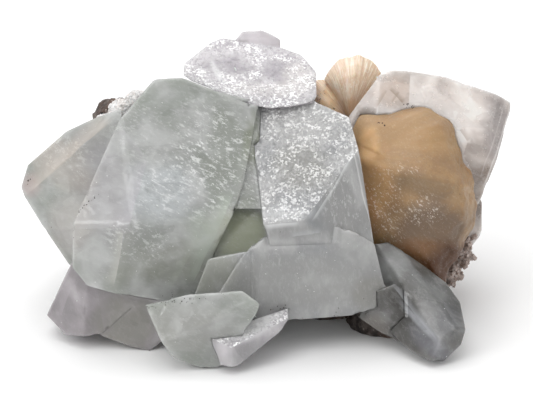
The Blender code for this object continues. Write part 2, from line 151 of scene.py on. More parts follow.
class Wiring:
    """Adds and joins the nodes of one tree."""

    def __init__(self, tree: Tree) -> None:
        """Takes an empty tree.

        Args:
            tree: the tree that gets the nodes.
        """
        self.tree = tree

    def node(self, kind: str, inputs: dict[Any, Any] | None = None, **settings: Any) -> bpy.types.Node:
        """Adds a node, sets it and joins its inputs.

        Args:
            kind: the node's type in Blender.
            inputs: sockets by name or number, each with a value or with the socket that feeds it.
            **settings: the node's own settings.

        Returns:
            The node.
        """
        made = self.tree.nodes.new(kind)
        for name, value in settings.items():
            setattr(made, name, value)
        for key, value in (inputs or {}).items():
            if isinstance(value, Socket):
                self.tree.links.new(value, made.inputs[key])
            else:
                made.inputs[key].default_value = value
        return made

    def maths(self, operation: str, first: Any, second: Any = 0.0, third: Any = 0.0) -> Socket:
        """The result of one step of arithmetic on values and sockets."""
        return self.node("ShaderNodeMath", {0: first, 1: second, 2: third}, operation=operation).outputs[0]

    def times(self, *values: Any) -> Socket:
        """The product of values and sockets."""
        return reduce(partial(self.maths, "MULTIPLY"), values)

    def most(self, *values: Any) -> Socket:
        """The largest of values and sockets."""
        return reduce(partial(self.maths, "MAXIMUM"), values)

    def vector(self, operation: str, inputs: dict[Any, Any]) -> Socket:
        """The result of one step of arithmetic on vectors."""
        return self.node("ShaderNodeVectorMath", inputs, operation=operation).outputs[0]

    def ramp(self, value: Any, low: float, high: float, start: float = 0.0, end: float = 1.0) -> Socket:
        """A value taken along a soft curve from start, at low, to end, at high.

        Args:
            value: the socket to read.
            low: the input where the curve starts.
            high: the input where it ends.
            start: the result at low.
            end: the result at high.

        Returns:
            The socket with the result.
        """
        inputs = {"Value": value, "From Min": low, "From Max": high, "To Min": start, "To Max": end}
        return self.node("ShaderNodeMapRange", inputs, interpolation_type="SMOOTHSTEP").outputs[0]


class Patterns(Wiring):
    """Patterns of a material, in millimetres on the piece's own Object coordinates."""

    def __init__(self, material: bpy.types.Material) -> None:
        """Clears the material's tree and finds the coordinates.

        Args:
            material: the material, with its nodes in use.
        """
        super().__init__(material.node_tree)
        self.tree.nodes.clear()
        places = self.node("ShaderNodeTexCoord").outputs["Object"]
        self.place = self.vector("SCALE", {0: places, "Scale": 1.0 / MM})
        back = STAND.inverted().translation
        turned = {"Vector": self.place, "Location": back, "Rotation": (LEAN, 0.0, 0.0)}
        self.drawing = self.node("ShaderNodeMapping", turned, vector_type="POINT").outputs[0]

    def noise(
        self, size: float, detail: float = 3.0, rough: float = 0.5, warp: float = 0.0, vector: Any = None
    ) -> Socket:
        """Cloudy noise.

        Args:
            size: the size of its patches, in millimetres.
            detail: how many finer layers it has.
            rough: how strong the finer layers are.
            warp: how far it is bent out of shape.
            vector: where it is read, if not at the place itself.

        Returns:
            The socket with a value from 0 to 1.
        """
        inputs = {"Vector": vector or self.place, "Scale": 1.0 / size, "Detail": detail}
        inputs |= {"Roughness": rough, "Distortion": warp}
        return self.node("ShaderNodeTexNoise", inputs).outputs[0]

    def cells(self, size: float, output: str = "Distance") -> Socket:
        """Grains size millimetres apart: the Distance to the middle of each, or its random Color."""
        inputs = {"Vector": self.place, "Scale": 1.0 / size}
        return self.node("ShaderNodeTexVoronoi", inputs).outputs[output]

    def blocks(self, vector: Any) -> Socket:
        """A random value for each straight-sided block, as of crystal that cleaved in steps."""
        node = self.node("ShaderNodeTexVoronoi", {"Vector": vector, "Scale": 1.0}, distance="CHEBYCHEV")
        return self.share(node.outputs["Color"])

    def glitter(self, grains: Any, tilt: Any, normal: Any) -> Socket:
        """A normal that is tilted another way on each grain, as on sugar.

        Args:
            grains: the random colour of each grain.
            tilt: how far the grains are tilted.
            normal: the normal that they lie on.

        Returns:
            The socket with the normal.
        """
        centred = self.vector("SUBTRACT", {0: grains, 1: (0.5, 0.5, 0.5)})
        tilted = self.vector("SCALE", {0: centred, "Scale": tilt})
        return self.vector("NORMALIZE", {0: self.vector("ADD", {0: tilted, 1: normal})})

    def share(self, colour: Any) -> Socket:
        """The red share of a colour."""
        return self.node("ShaderNodeSeparateColor", {0: colour}).outputs[0]

    def framed(self, x: float, z: float, turn: float, scale: Place) -> Socket:
        """The drawing's coordinates, counted from a place in it.

        Args:
            x: the place, to the right.
            z: the place, up.
            turn: how far they are turned, in radians down from the right.
            scale: the length of a unit to the right, away from the viewer and up.

        Returns:
            The socket with the coordinates.
        """
        inputs = {"Vector": self.drawing, "Location": (x, 0.0, z)}
        inputs |= {"Rotation": (0.0, turn, 0.0), "Scale": scale}
        return self.node("ShaderNodeMapping", inputs, vector_type="TEXTURE").outputs[0]

    def along(self, angle: float, long: float, wide: float, depth: float) -> Socket:
        """Coordinates with a pattern drawn out along a direction, in degrees down from the right."""
        return self.framed(0.0, 0.0, math.radians(angle), (long, depth, wide))

    def attribute(self, name: str) -> Socket:
        """A value that the mesh carries at each point."""
        return self.node("ShaderNodeAttribute", attribute_name=name).outputs["Fac"]

    def blend(self, share: Any, first: Any, second: Any, mode: str = "MIX") -> Socket:
        """Two colours mixed.

        Args:
            share: how much of the second there is.
            first: a colour or a socket.
            second: a colour or a socket.
            mode: how the second is laid over the first.

        Returns:
            The socket with the colour.
        """
        first, second = ((*value, 1.0) if isinstance(value, tuple) else value for value in (first, second))
        inputs = {0: share, 6: first, 7: second}
        return self.node("ShaderNodeMix", inputs, data_type="RGBA", blend_type=mode).outputs[2]

    def bump(self, height: Any, size: float, strength: float = 1.0, over: Any = None) -> Socket:
        """A surface normal tilted by a height.

        Args:
            height: the socket with the height, from 0 to 1.
            size: the height of a full step, in millimetres.
            strength: how much of it is used.
            over: the normal that it is laid over.

        Returns:
            The socket with the normal.
        """
        inputs = {"Height": height, "Distance": size * MM, "Strength": strength}
        if over:
            inputs["Normal"] = over
        return self.node("ShaderNodeBump", inputs).outputs[0]

    def surface(self, inputs: dict[str, Any]) -> bpy.types.Node:
        """The output node, with the shader that has the inputs named."""
        shader = self.node("ShaderNodeBsdfPrincipled", inputs)
        return self.node("ShaderNodeOutputMaterial", {"Surface": shader.outputs[0]})


@dataclass(frozen=True)
class Spot:
    """A soft oval, round a place of the drawing, that reaches through a crystal."""

    x: float
    z: float
    width: float
    height: float
    strength: float = 0.7
    turn: float = 0.0

    def share(self, p: Patterns, ragged: Any) -> Socket:
        """How strong the spot is.

        Args:
            p: the material's patterns.
            ragged: noise from 0 to 1 that frays its edge.

        Returns:
            The socket with the share.
        """
        vector = p.framed(self.x, self.z, math.radians(self.turn), (self.width, THROUGH, self.height))
        reach = p.node("ShaderNodeVectorMath", {0: vector}, operation="LENGTH").outputs["Value"]
        frayed = p.maths("MULTIPLY_ADD", ragged, 0.7, p.maths("SUBTRACT", reach, 0.35))
        return p.ramp(frayed, 1.0, 0.35, 0.0, self.strength)


@dataclass(frozen=True)
class Tint:
    """A patch of colour in a spot: a stain, or painted light or shade."""

    x: float
    z: float
    width: float
    height: float
    colour: Colour
    strength: float = 0.7
    turn: float = 0.0

    def over(self, p: Patterns, colour: Any, ragged: Any) -> Socket:
        """The patch laid over a colour.

        Args:
            p: the material's patterns.
            colour: the colour below.
            ragged: noise from 0 to 1 that frays its edge.

        Returns:
            The socket with the colour.
        """
        spot = Spot(self.x, self.z, self.width, self.height, self.strength, self.turn)
        return p.blend(spot.share(p, ragged), colour, self.colour)


@dataclass(frozen=True)
class SeamOrEdgeHighlight:
    """A cleavage plane inside a crystal, or a painted highlight along its edge, seen as a crisp line of the
    drawing that fades to its left.
    """

    start: Spread
    end: Spread
    fade: float
    colour: Colour
    strength: float

    def over(self, p: Patterns, colour: Any, bend: Any) -> Socket:
        """The seam laid over a colour.

        Args:
            p: the material's patterns.
            colour: the colour below.
            bend: noise from 0 to 1 that bends the line a little.

        Returns:
            The socket with the colour.
        """
        (x, z), (right, up) = self.start, self.end
        turn = -math.atan2(up - z, right - x)
        half = math.hypot(right - x, up - z) / 2.0
        vector = p.framed((x + right) / 2.0, (z + up) / 2.0, turn, (half, THROUGH, self.fade))
        parts = p.node("ShaderNodeSeparateXYZ", {0: vector}).outputs
        away = p.maths("MULTIPLY_ADD", p.maths("SUBTRACT", bend, 0.5), 1.2 / self.fade, parts[2])
        crisp = p.ramp(away, -0.08 / self.fade, 0.08 / self.fade)
        ends = p.ramp(p.maths("ABSOLUTE", parts[0]), 1.0, 0.7, 0.0, self.strength)
        return p.blend(p.times(crisp, p.ramp(away, 1.0, 0.0), ends), colour, self.colour)


class Paint:
    """What all finishes share: a material that is made once, under the finish's own name."""

    name: str

    def material(self) -> bpy.types.Material:
        """Finds the finish's material, or makes it.

        Returns:
            The material.
        """
        made = bpy.data.materials.get(self.name)
        if made is None:
            made = bpy.data.materials.new(self.name)
            made.use_nodes = True
            self.paint(Patterns(made))
        return made

    def paint(self, p: Patterns) -> None:
        """Wires the material, each finish in its own way."""
        raise NotImplementedError


GLINT = seen(255, 255, 255)
# Colour of the frost, and of the painted sparkle on its grains.
FROST_AND_SPARKLE = seen(252, 251, 251)
# Painted sheen on stilbite fibres.
FIBRE_SHEEN = seen(253, 246, 236)
# Pale stilbite flecks, partly painted cleavage glints.
FLECK_AND_GLINT = seen(240, 230, 218)


@dataclass(frozen=True)
class CrystalFinish(Paint):
    """Milky, glassy crystal with clouds and feathery flaws inside, frosted where its faces are etched.
    Its frost has painted sparkle, and its sharp edges carry a painted highlight.

    grain is the lie of its flaws, in degrees down from the right, and lay that of the streaks on its
    frosted faces. The flaws crowd in the spots called crowds, and the faces are less frosted in
    those called bare.
    """

    name: str
    body: Colour
    deep: Colour
    milk: Colour
    # Pale colour of the feathery flaws, and of the painted highlight along sharp edges.
    flaw_and_edge_highlight_white: Colour = seen(236, 237, 236)
    clear: float = 0.4
    polish: float = 0.08
    cloud_size: float = 9.0
    cloud: float = 0.4
    grain: float = 25.0
    feathers: float = 0.15
    mosaic: float = 0.05
    # The first and last of these three set how strong the painted highlight along sharp edges is, on clear
    # faces and on frosted faces; the middle one sets how strong the etching and its painted sparkle are.
    edge: float = 0.10
    sugar: float = 0.9
    frosted_edge_highlight: float = 0.6
    lay: float = 70.0
    patch: float = 4.5
    tints: tuple[Tint, ...] = ()
    crowds: tuple[Spot, ...] = ()
    bare: tuple[Spot, ...] = ()
    seams: tuple[SeamOrEdgeHighlight, ...] = ()
    absorb: Colour = (0.84, 0.90, 0.86)
    density: float = 20.0

    def paint(self, p: Patterns) -> None:
        """Wires the material.

        Args:
            p: the material's patterns.
        """
        clouds = p.noise(self.cloud_size, 3.0, 0.45, 0.5)
        colour = p.blend(p.ramp(clouds, 0.66, 0.36), self.body, self.deep)
        for tint in self.tints:
            colour = tint.over(p, colour, clouds)
        milky = p.ramp(clouds, 0.48, 0.70, 0.0, self.cloud)
        colour = p.blend(milky, colour, self.milk)
        blocks = p.blocks(p.along(self.grain - 30.0, 6.5, 3.6, 5.0))
        shades = p.ramp(blocks, 0.0, 1.0, 1.0 - self.mosaic, 1.0 + self.mosaic)
        colour = p.blend(1.0, colour, shades, "MULTIPLY")
        colour, flaws = self.flawed(p, colour, clouds)
        colour, etched = self.etched(p, colour, clouds)
        for seam in self.seams:
            colour = seam.over(p, colour, clouds)
        # Painted highlight: a pale, broken line along each sharp edge, where the mesh's rim share is high.
        strength = p.ramp(p.attribute("frost"), 0.0, 1.0, self.edge, self.frosted_edge_highlight)
        broken = p.times(strength, p.ramp(p.noise(2.2, 4.0, 0.7), 0.40, 0.62))
        edge = p.times(p.attribute("rim"), broken)
        colour = p.blend(edge, colour, self.flaw_and_edge_highlight_white)
        hidden = p.most(flaws, milky, etched, edge)
        rough = p.maths("MULTIPLY_ADD", p.ramp(p.noise(1.8, 3.0, 0.6), 0.35, 0.65), 0.14, self.polish)
        fine = p.bump(blocks, 0.10, 0.25, p.bump(p.noise(1.4, 2.0, 0.5), 0.04, 0.4))
        tilt = p.times(p.attribute("frost"), 0.75)
        output = p.surface({
            "Base Color": colour,
            "Roughness": rough,
            "IOR": CRYSTAL_IOR,
            "Transmission Weight": p.ramp(hidden, 0.0, 1.0, self.clear, 0.1 * self.clear),
            "Subsurface Weight": 0.85,
            "Subsurface Scale": 4.0 * MM,
            "Subsurface Radius": (1.0, 1.0, 0.97),
            "Normal": p.glitter(p.cells(0.55, "Color"), tilt, fine),
        })
        absorbing = {"Color": (*self.absorb, 1.0), "Density": self.density}
        volume = p.node("ShaderNodeVolumeAbsorption", absorbing)
        p.tree.links.new(volume.outputs[0], output.inputs["Volume"])

    def flawed(self, p: Patterns, colour: Any, clouds: Any) -> tuple[Any, Any]:
        """Lays feathery flaws, fine dark streaks and small glints into the colour.

        Args:
            p: the material's patterns.
            colour: the colour below.
            clouds: the crystal's clouds.

        Returns:
            The sockets with the colour and with how much of it is flaws.
        """
        crowd: Any = self.feathers
        for spot in self.crowds:
            crowd = p.most(crowd, spot.share(p, clouds))
        cotton = p.noise(1.0, 8.0, 0.76, 0.2, p.along(self.grain, 2.4, 1.1, 1.8))
        strands = p.noise(1.0, 7.0, 0.74, 0.1, p.along(self.grain + 12.0, 1.5, 0.55, 1.2))
        torn = p.most(p.ramp(cotton, 0.50, 0.61, 0.0, 0.62), p.ramp(strands, 0.56, 0.65, 0.0, 0.8))
        flaws = p.times(torn, crowd)
        dark = p.most(p.ramp(cotton, 0.46, 0.38), p.ramp(strands, 0.43, 0.35, 0.0, 0.8))
        colour = p.blend(p.times(dark, crowd, 0.55), colour, self.deep)
        colour = p.blend(flaws, colour, self.flaw_and_edge_highlight_white)
        glints = p.times(p.ramp(p.cells(1.5), 0.085, 0.04), p.ramp(strands, 0.50, 0.55))
        return p.blend(glints, colour, GLINT), p.most(flaws, glints)

    def etched(self, p: Patterns, colour: Any, clouds: Any) -> tuple[Any, Any]:
        """Lays patches of bright, sugary etching over the colour, with painted sparkle on its grains, where
        the mesh says so.

        Args:
            p: the material's patterns.
            colour: the colour below.
            clouds: the crystal's clouds.

        Returns:
            The sockets with the colour and with how much is etched.
        """
        frost = p.attribute("frost")
        for spot in self.bare:
            frost = p.times(frost, p.maths("SUBTRACT", 1.0, spot.share(p, clouds)))
        patches = p.noise(self.patch, 5.0, 0.62, 0.8)
        streaks = p.noise(1.0, 5.0, 0.70, 0.1, p.along(self.lay, 5.0, 0.34, 3.0))
        grain = p.share(p.cells(0.42, "Color"))
        # Painted sparkle: bright grains scattered over the frost.
        painted_sparkle = p.ramp(grain, 0.35, 0.9)
        bright = p.times(painted_sparkle, p.ramp(patches, 0.44, 0.54, 0.2, 1.0))
        bright = p.most(bright, p.ramp(streaks, 0.54, 0.68, 0.0, 0.6))
        etched = p.times(bright, frost)
        dark = p.times(p.ramp(grain, 0.28, 0.10), p.ramp(patches, 0.62, 0.46), frost)
        colour = p.blend(p.times(frost, 0.3), colour, self.milk)
        colour = p.blend(p.times(dark, 0.6 * self.sugar), colour, self.deep)
        return p.blend(p.times(etched, self.sugar), colour, FROST_AND_SPARKLE), etched


@dataclass(frozen=True)
class VeilFinish(Paint):
    """White, pearly cleavage flakes that hang inside a crystal."""

    name: str
    colour: Colour = seen(240, 243, 242)
    shade: Colour = seen(214, 220, 217)

    def paint(self, p: Patterns) -> None:
        """Wires the material.

        Args:
            p: the material's patterns.
        """
        mottled = p.blend(p.ramp(p.noise(0.8), 0.35, 0.65), self.colour, self.shade)
        p.surface({"Base Color": mottled, "Roughness": 0.22, "IOR": CRYSTAL_IOR, "Specular IOR Level": 0.8})


@dataclass(frozen=True)
class StilbiteFinish(Paint):
    """Waxy, pearly stilbite with fine fibres along its blades, and a painted sheen along the fibres."""

    name: str
    light: Colour
    body: Colour
    trough: Colour
    # Colour of the painted shade towards the bottom.
    foot: Colour
    sheen: float
    flecks: float
    # How strong the fibre streaks are: the darker ones and the painted sheen.
    fibres: float = 0.12
    tints: tuple[Tint, ...] = ()
    crowds: tuple[Spot, ...] = ()

    def paint(self, p: Patterns) -> None:
        """Wires the material.

        Args:
            p: the material's patterns.
        """
        fibres = p.node("ShaderNodeUVMap", uv_map="fan").outputs[0]
        streaks = p.noise(0.8, 4.0, 0.65, 0.3, fibres)
        clouds = p.noise(7.0, 3.0, 0.5, 0.5)
        grit = p.noise(0.5, 3.0, 0.6)
        rim, low = p.attribute("rim"), p.attribute("low")
        mottled = p.maths("MULTIPLY_ADD", grit, 0.35, p.times(clouds, 0.65))
        colour = p.blend(p.ramp(mottled, 0.38, 0.62), self.body, self.light)
        for tint in self.tints:
            colour = tint.over(p, colour, clouds)
        colour = p.blend(p.ramp(streaks, 0.48, 0.36, 0.0, self.fibres), colour, self.trough)
        # Painted sheen: pale glossy strands along the fibres.
        colour = p.blend(p.ramp(streaks, 0.52, 0.62, 0.0, self.fibres), colour, FIBRE_SHEEN)
        # Painted shade: darker towards the bottom of the fan, in the foot colour.
        colour = p.blend(low, colour, self.foot)
        # Pale flecks, partly painted cleavage glints.
        torn = p.ramp(p.noise(1.0, 7.0, 0.74, 0.1, p.along(50.0, 0.8, 0.40, 0.8)), 0.545, 0.62)
        crowd: Any = 0.12
        for spot in self.crowds:
            crowd = p.most(crowd, spot.share(p, clouds))
        flecks_and_glints = p.times(torn, crowd)
        colour = p.blend(p.times(flecks_and_glints, self.flecks), colour, FLECK_AND_GLINT)
        crumbs = p.times(rim, p.ramp(grit, 0.4, 0.6, 0.0, 0.3), p.maths("SUBTRACT", 1.0, low))
        colour = p.blend(crumbs, colour, self.light)
        rough = p.ramp(grit, 0.30, 0.70, 0.34, 0.56)
        normal = p.bump(streaks, 0.12, self.sheen, p.bump(grit, 0.06, 0.5))
        p.surface({
            "Base Color": colour,
            "Roughness": rough,
            "IOR": STILBITE_IOR,
            "Subsurface Weight": 0.6,
            "Subsurface Scale": 2.4 * MM,
            "Subsurface Radius": (1.0, 0.62, 0.38),
            "Transmission Weight": 0.06,
            "Normal": normal,
        })


@dataclass(frozen=True)
class DruseFinish(Paint):
    """A crust of tiny glassy crystals."""

    name: str
    light: Colour
    dark: Colour

    def paint(self, p: Patterns) -> None:
        """Wires the material.

        Args:
            p: the material's patterns.
        """
        patches = p.noise(2.2, 3.0, 0.6)
        colour = p.blend(p.ramp(patches, 0.38, 0.62), self.dark, self.light)
        colour = p.blend(p.ramp(p.cells(1.1), 0.55, 0.15, 0.0, 0.35), colour, self.light)
        p.surface({
            "Base Color": colour,
            "Roughness": p.ramp(p.noise(0.6), 0.3, 0.7, 0.18, 0.5),
            "IOR": CRYSTAL_IOR,
            "Subsurface Weight": 0.4,
            "Subsurface Scale": 1.0 * MM,
            "Subsurface Radius": (1.0, 0.9, 0.85),
            "Transmission Weight": 0.15,
            "Normal": p.bump(p.noise(0.4), 0.05, 0.5),
        })


@dataclass(frozen=True)
class BasaltFinish(Paint):
    """Rough, fine-grained basalt, weathered brown in places and specked with pale minerals."""

    name: str
    dark: Colour = seen(46, 40, 38)
    grey: Colour = seen(104, 95, 90)
    brown: Colour = seen(112, 86, 72)
    speck: Colour = seen(188, 178, 170)

    def paint(self, p: Patterns) -> None:
        """Wires the material.

        Args:
            p: the material's patterns.
        """
        broad, patch = p.noise(12.0, 5.0, 0.62, 0.5), p.noise(4.2, 4.0, 0.62, 0.2)
        fine, grit = p.noise(1.6, 4.0, 0.65), p.noise(0.5, 3.0, 0.7)
        colour = p.blend(p.ramp(fine, 0.36, 0.64), self.dark, self.grey)
        colour = p.blend(p.ramp(patch, 0.46, 0.60, 0.0, 0.6), colour, self.dark)
        colour = p.blend(p.ramp(broad, 0.46, 0.70, 0.0, 0.7), colour, self.brown)
        small = p.times(p.ramp(p.cells(1.3), 0.26, 0.10), p.ramp(broad, 0.35, 0.60, 0.15, 0.6))
        large = p.times(p.ramp(p.cells(3.0), 0.26, 0.06), p.ramp(patch, 0.46, 0.58, 0.0, 0.7))
        colour = p.blend(p.most(small, large), colour, self.speck)
        colour = p.blend(p.ramp(grit, 0.40, 0.28, 0.0, 0.5), colour, self.dark)
        normal = p.bump(grit, 0.22, 0.8, p.bump(fine, 0.40, 0.8, p.bump(patch, 0.8, 0.7)))
        p.surface({
            "Base Color": colour,
            "Roughness": p.ramp(grit, 0.3, 0.7, 0.65, 0.95),
            "IOR": ROCK_IOR,
            "Normal": normal,
        })


@dataclass(frozen=True)
class FloorFinish(Paint):
    """Plain, pale matt studio paper."""

    name: str = "studio_paper"
    colour: Colour = (0.93, 0.93, 0.93)

    def paint(self, p: Patterns) -> None:
        """Wires the material.

        Args:
            p: the material's patterns.
        """
        p.surface({"Base Color": (*self.colour, 1.0), "Roughness": 0.9})


class Finish(Enum):
    """The finishes that the pieces of the cluster can have."""

    GREEN = CrystalFinish(
        "green_glass", body=seen(202, 203, 201), deep=seen(176, 180, 174), milk=seen(220, 221, 221),
        cloud=0.25, feathers=0.2,
        tints=(
            Tint(-38.0, 4.0, 10.0, 20.0, seen(202, 200, 202), 0.8, -20.0),
            Tint(-24.0, 2.0, 12.0, 10.0, seen(220, 224, 227), 0.75),
            Tint(-9.0, 12.0, 8.0, 16.0, seen(175, 179, 171), 0.8),
            Tint(-19.0, -14.0, 22.0, 7.0, seen(184, 186, 177), 0.8, -12.0),
            Tint(-14.0, -9.0, 6.0, 8.0, seen(204, 210, 201), 0.8, -20.0),
            # Painted light: a lighter green over the recessed notch, which lies in shade.
            Tint(-5.5, -8.0, 10.0, 8.0, seen(216, 221, 197), 0.9),
            # Painted shadow: a darker olive strip beside the middle crystal's left edge, under its
            # overhang.
            Tint(-3.0, 13.5, 3.4, 9.0, seen(156, 161, 143), 0.95),
            Tint(-4.0, 1.0, 4.0, 5.0, seen(176, 180, 170), 0.7),
            Tint(-49.0, 9.0, 14.0, 7.0, seen(214, 207, 200), 0.8, 40.0),
            Tint(-46.0, -6.0, 9.0, 10.0, seen(210, 206, 203), 0.8),
            Tint(-57.0, 3.5, 4.0, 4.0, seen(202, 186, 184), 0.8),
            Tint(-18.0, -29.0, 14.0, 7.0, seen(190, 190, 186), 0.8),
        ),
        crowds=(
            Spot(-13.0, 10.0, 16.0, 20.0, 1.0),
            Spot(-31.0, 16.0, 12.0, 12.0, 0.5),
            Spot(-48.0, 10.0, 12.0, 8.0, 0.6, 35.0),
            Spot(-30.0, -10.0, 12.0, 8.0, 0.65),
            Spot(-24.0, 4.0, 10.0, 12.0, 0.8),
            Spot(-4.0, 3.0, 6.0, 10.0, 0.85),
        ),
        seams=(
            SeamOrEdgeHighlight((-35.2, -20.4), (-32.2, -6.3), 3.0, seen(222, 221, 214), 0.6),
            SeamOrEdgeHighlight((-32.2, -6.3), (-35.2, -20.4), 6.0, seen(164, 166, 156), 0.4),
            SeamOrEdgeHighlight((-17.3, -20.0), (-7.1, 2.3), 4.0, seen(218, 226, 214), 0.55),
            SeamOrEdgeHighlight((-7.1, 2.3), (-1.1, 17.6), 3.0, seen(198, 202, 194), 0.4),
            SeamOrEdgeHighlight((-43.9, -6.9), (-31.8, -6.0), 6.0, seen(230, 228, 229), 0.35),
            SeamOrEdgeHighlight((-31.4, -6.9), (-27.5, 9.7), 5.0, seen(218, 214, 220), 0.45),
            SeamOrEdgeHighlight((-27.6, 9.7), (-34.1, 17.3), 3.5, seen(222, 219, 224), 0.3),
            SeamOrEdgeHighlight((-58.0, 1.0), (-35.5, 19.4), 5.0, seen(226, 216, 206), 0.6),
            SeamOrEdgeHighlight((-35.5, 19.4), (-58.0, 1.0), 4.0, seen(180, 178, 170), 0.3),
            SeamOrEdgeHighlight((-48.9, -7.1), (-39.9, 0.9), 3.0, seen(212, 210, 204), 0.3),
            SeamOrEdgeHighlight((-22.4, -20.9), (-14.3, -7.0), 3.0, seen(206, 212, 200), 0.3),
            SeamOrEdgeHighlight((-26.7, -33.3), (-15.3, -34.9), 2.5, seen(206, 206, 202), 0.3),
        ),
    )
    FROSTED = CrystalFinish(
        "frosted_glass", body=seen(196, 196, 195), deep=seen(172, 174, 176), milk=seen(208, 208, 209),
        cloud=0.3, feathers=0.2, grain=82.0, lay=88.0, patch=3.5, mosaic=0.02, edge=0.0, sugar=0.58,
        tints=(
            Tint(6.0, -19.0, 32.0, 9.0, seen(190, 190, 188), 0.85),
            Tint(-14.0, -16.0, 9.0, 8.0, seen(188, 190, 180), 0.7),
            Tint(24.0, -22.0, 6.0, 6.0, seen(172, 170, 164), 0.7),
            Tint(5.0, -7.5, 9.0, 2.6, seen(162, 162, 161), 0.85),
            Tint(19.0, -2.0, 8.0, 14.0, seen(188, 187, 185), 0.7),
            Tint(8.0, 8.0, 9.0, 8.0, seen(172, 171, 163), 0.8),
            Tint(6.5, -1.0, 6.0, 4.0, seen(186, 188, 190), 0.6),
            Tint(8.0, 18.0, 14.0, 7.0, seen(214, 213, 211), 0.8),
            Tint(3.5, -3.2, 8.0, 2.6, seen(240, 241, 243), 0.6),
        ),
        crowds=(
            Spot(18.0, 2.0, 7.0, 14.0, 0.55),
            Spot(0.0, -13.0, 14.0, 4.0, 0.35),
        ),
        seams=(
            # Painted highlights: pale lines along the crystal's right and lower edges.
            SeamOrEdgeHighlight((19.1, 17.1), (24.9, -10.6), 0.5, seen(246, 246, 246), 0.8),
            SeamOrEdgeHighlight((20.1, 17.2), (25.8, -10.7), 0.4, seen(246, 246, 246), 0.7),
            SeamOrEdgeHighlight((20.5, 16.6), (19.8, 9.7), 0.8, seen(244, 245, 245), 0.7),
            SeamOrEdgeHighlight((20.0, 10.2), (9.8, -5.1), 0.8, seen(240, 242, 242), 0.7),
            SeamOrEdgeHighlight((7.7, -5.1), (-0.6, -6.0), 1.2, seen(246, 247, 248), 0.6),
            SeamOrEdgeHighlight((5.4, -8.3), (12.8, -7.4), 1.6, seen(214, 216, 218), 0.5),
            SeamOrEdgeHighlight((27.3, -14.3), (14.6, -6.0), 3.0, seen(190, 192, 190), 0.35),
        ),
        absorb=(0.86, 0.89, 0.88),
    )
    SUGARED = CrystalFinish(
        "sugared_glass", body=seen(215, 211, 214), deep=seen(184, 179, 185), milk=seen(230, 226, 230),
        cloud=0.3, feathers=0.2, grain=62.0, lay=62.0, patch=7.5, edge=0.1, sugar=1.0, frosted_edge_highlight=0.8,
        tints=(
            Tint(-15.0, 29.5, 1.0, 5.0, seen(252, 251, 253), 0.9, -28.0),
            Tint(-11.8, 30.5, 1.1, 5.5, seen(254, 253, 254), 0.95, -28.0),
            Tint(8.0, 29.0, 5.0, 6.0, seen(242, 236, 233), 0.9),
            Tint(0.0, 26.5, 14.0, 2.6, seen(240, 234, 232), 0.8),
            Tint(-5.0, -35.5, 12.0, 3.6, seen(186, 184, 186), 1.0, -22.0),
            # Painted light: lifts the upturned glittering face of the small foot crystal, which lies in
            # shade under the foot crystal.
            Tint(-3.0, -29.0, 10.0, 3.2, seen(253, 253, 254), 1.0, -22.0),
        ),
        bare=(
            Spot(-8.0, 33.5, 6.5, 5.0, 1.0, 20.0),
            Spot(1.5, 32.0, 4.2, 3.4, 0.9, 20.0),
            Spot(-13.5, 33.0, 2.6, 6.0, 0.9, -28.0),
            Spot(3.5, 28.5, 2.0, 1.5, 0.9),
            Spot(-3.5, -28.5, 9.0, 2.6, 0.7, -22.0),
        ),
        absorb=(0.86, 0.86, 0.88),
    )
    LILAC = CrystalFinish(
        "lilac_glass", body=seen(192, 186, 189), deep=seen(170, 164, 167), milk=seen(204, 199, 203),
        cloud=0.3, feathers=0.12, grain=62.0,
        tints=(
            Tint(-32.0, -28.0, 11.0, 10.0, seen(166, 164, 157), 0.85),
            Tint(-2.0, 38.0, 9.0, 7.0, seen(224, 218, 222), 0.9),
        ),
        seams=(
            SeamOrEdgeHighlight((-39.5, -19.2), (-38.1, -32.4), 3.5, seen(178, 173, 174), 0.5),
            SeamOrEdgeHighlight((-27.3, -22.5), (-32.5, -34.0), 3.0, seen(172, 170, 166), 0.4),
            SeamOrEdgeHighlight((-48.5, -27.7), (-45.7, -19.9), 2.5, seen(206, 199, 203), 0.4),
            SeamOrEdgeHighlight((-6.6, 39.5), (-1.1, 41.0), 2.5, seen(240, 235, 239), 0.5),
        ),
        absorb=(0.84, 0.82, 0.85),
    )
    GREY = CrystalFinish(
        "clear_grey_glass", body=seen(162, 161, 159), deep=seen(118, 116, 113), milk=seen(190, 191, 194),
        clear=0.55, cloud=0.3, feathers=0.22, grain=48.0, edge=0.08, mosaic=0.08,
        tints=(
            Tint(39.0, -22.0, 9.0, 4.0, seen(140, 141, 139), 0.8, 45.0),
            Tint(32.0, -26.0, 5.0, 5.0, seen(100, 97, 93), 0.9),
            Tint(29.0, -16.0, 4.5, 6.0, seen(196, 198, 196), 0.85, 50.0),
            Tint(25.5, -29.5, 4.0, 4.0, seen(162, 156, 150), 0.8),
            Tint(38.0, -33.0, 8.0, 3.5, seen(158, 158, 166), 0.7, 45.0),
            Tint(41.5, -28.0, 5.0, 7.0, seen(87, 87, 88), 0.9, 45.0),
            Tint(35.5, -28.5, 8.0, 1.1, seen(204, 206, 211), 0.9, 48.0),
        ),
        seams=(
            SeamOrEdgeHighlight((28.8, -19.6), (39.6, -32.7), 1.6, seen(206, 208, 212), 0.7),
            SeamOrEdgeHighlight((30.4, -14.6), (40.7, -23.5), 2.5, seen(168, 170, 170), 0.4),
            SeamOrEdgeHighlight((40.7, -23.5), (45.9, -31.7), 1.5, seen(170, 172, 174), 0.4),
        ),
        absorb=(0.80, 0.82, 0.84), density=34.0,
    )
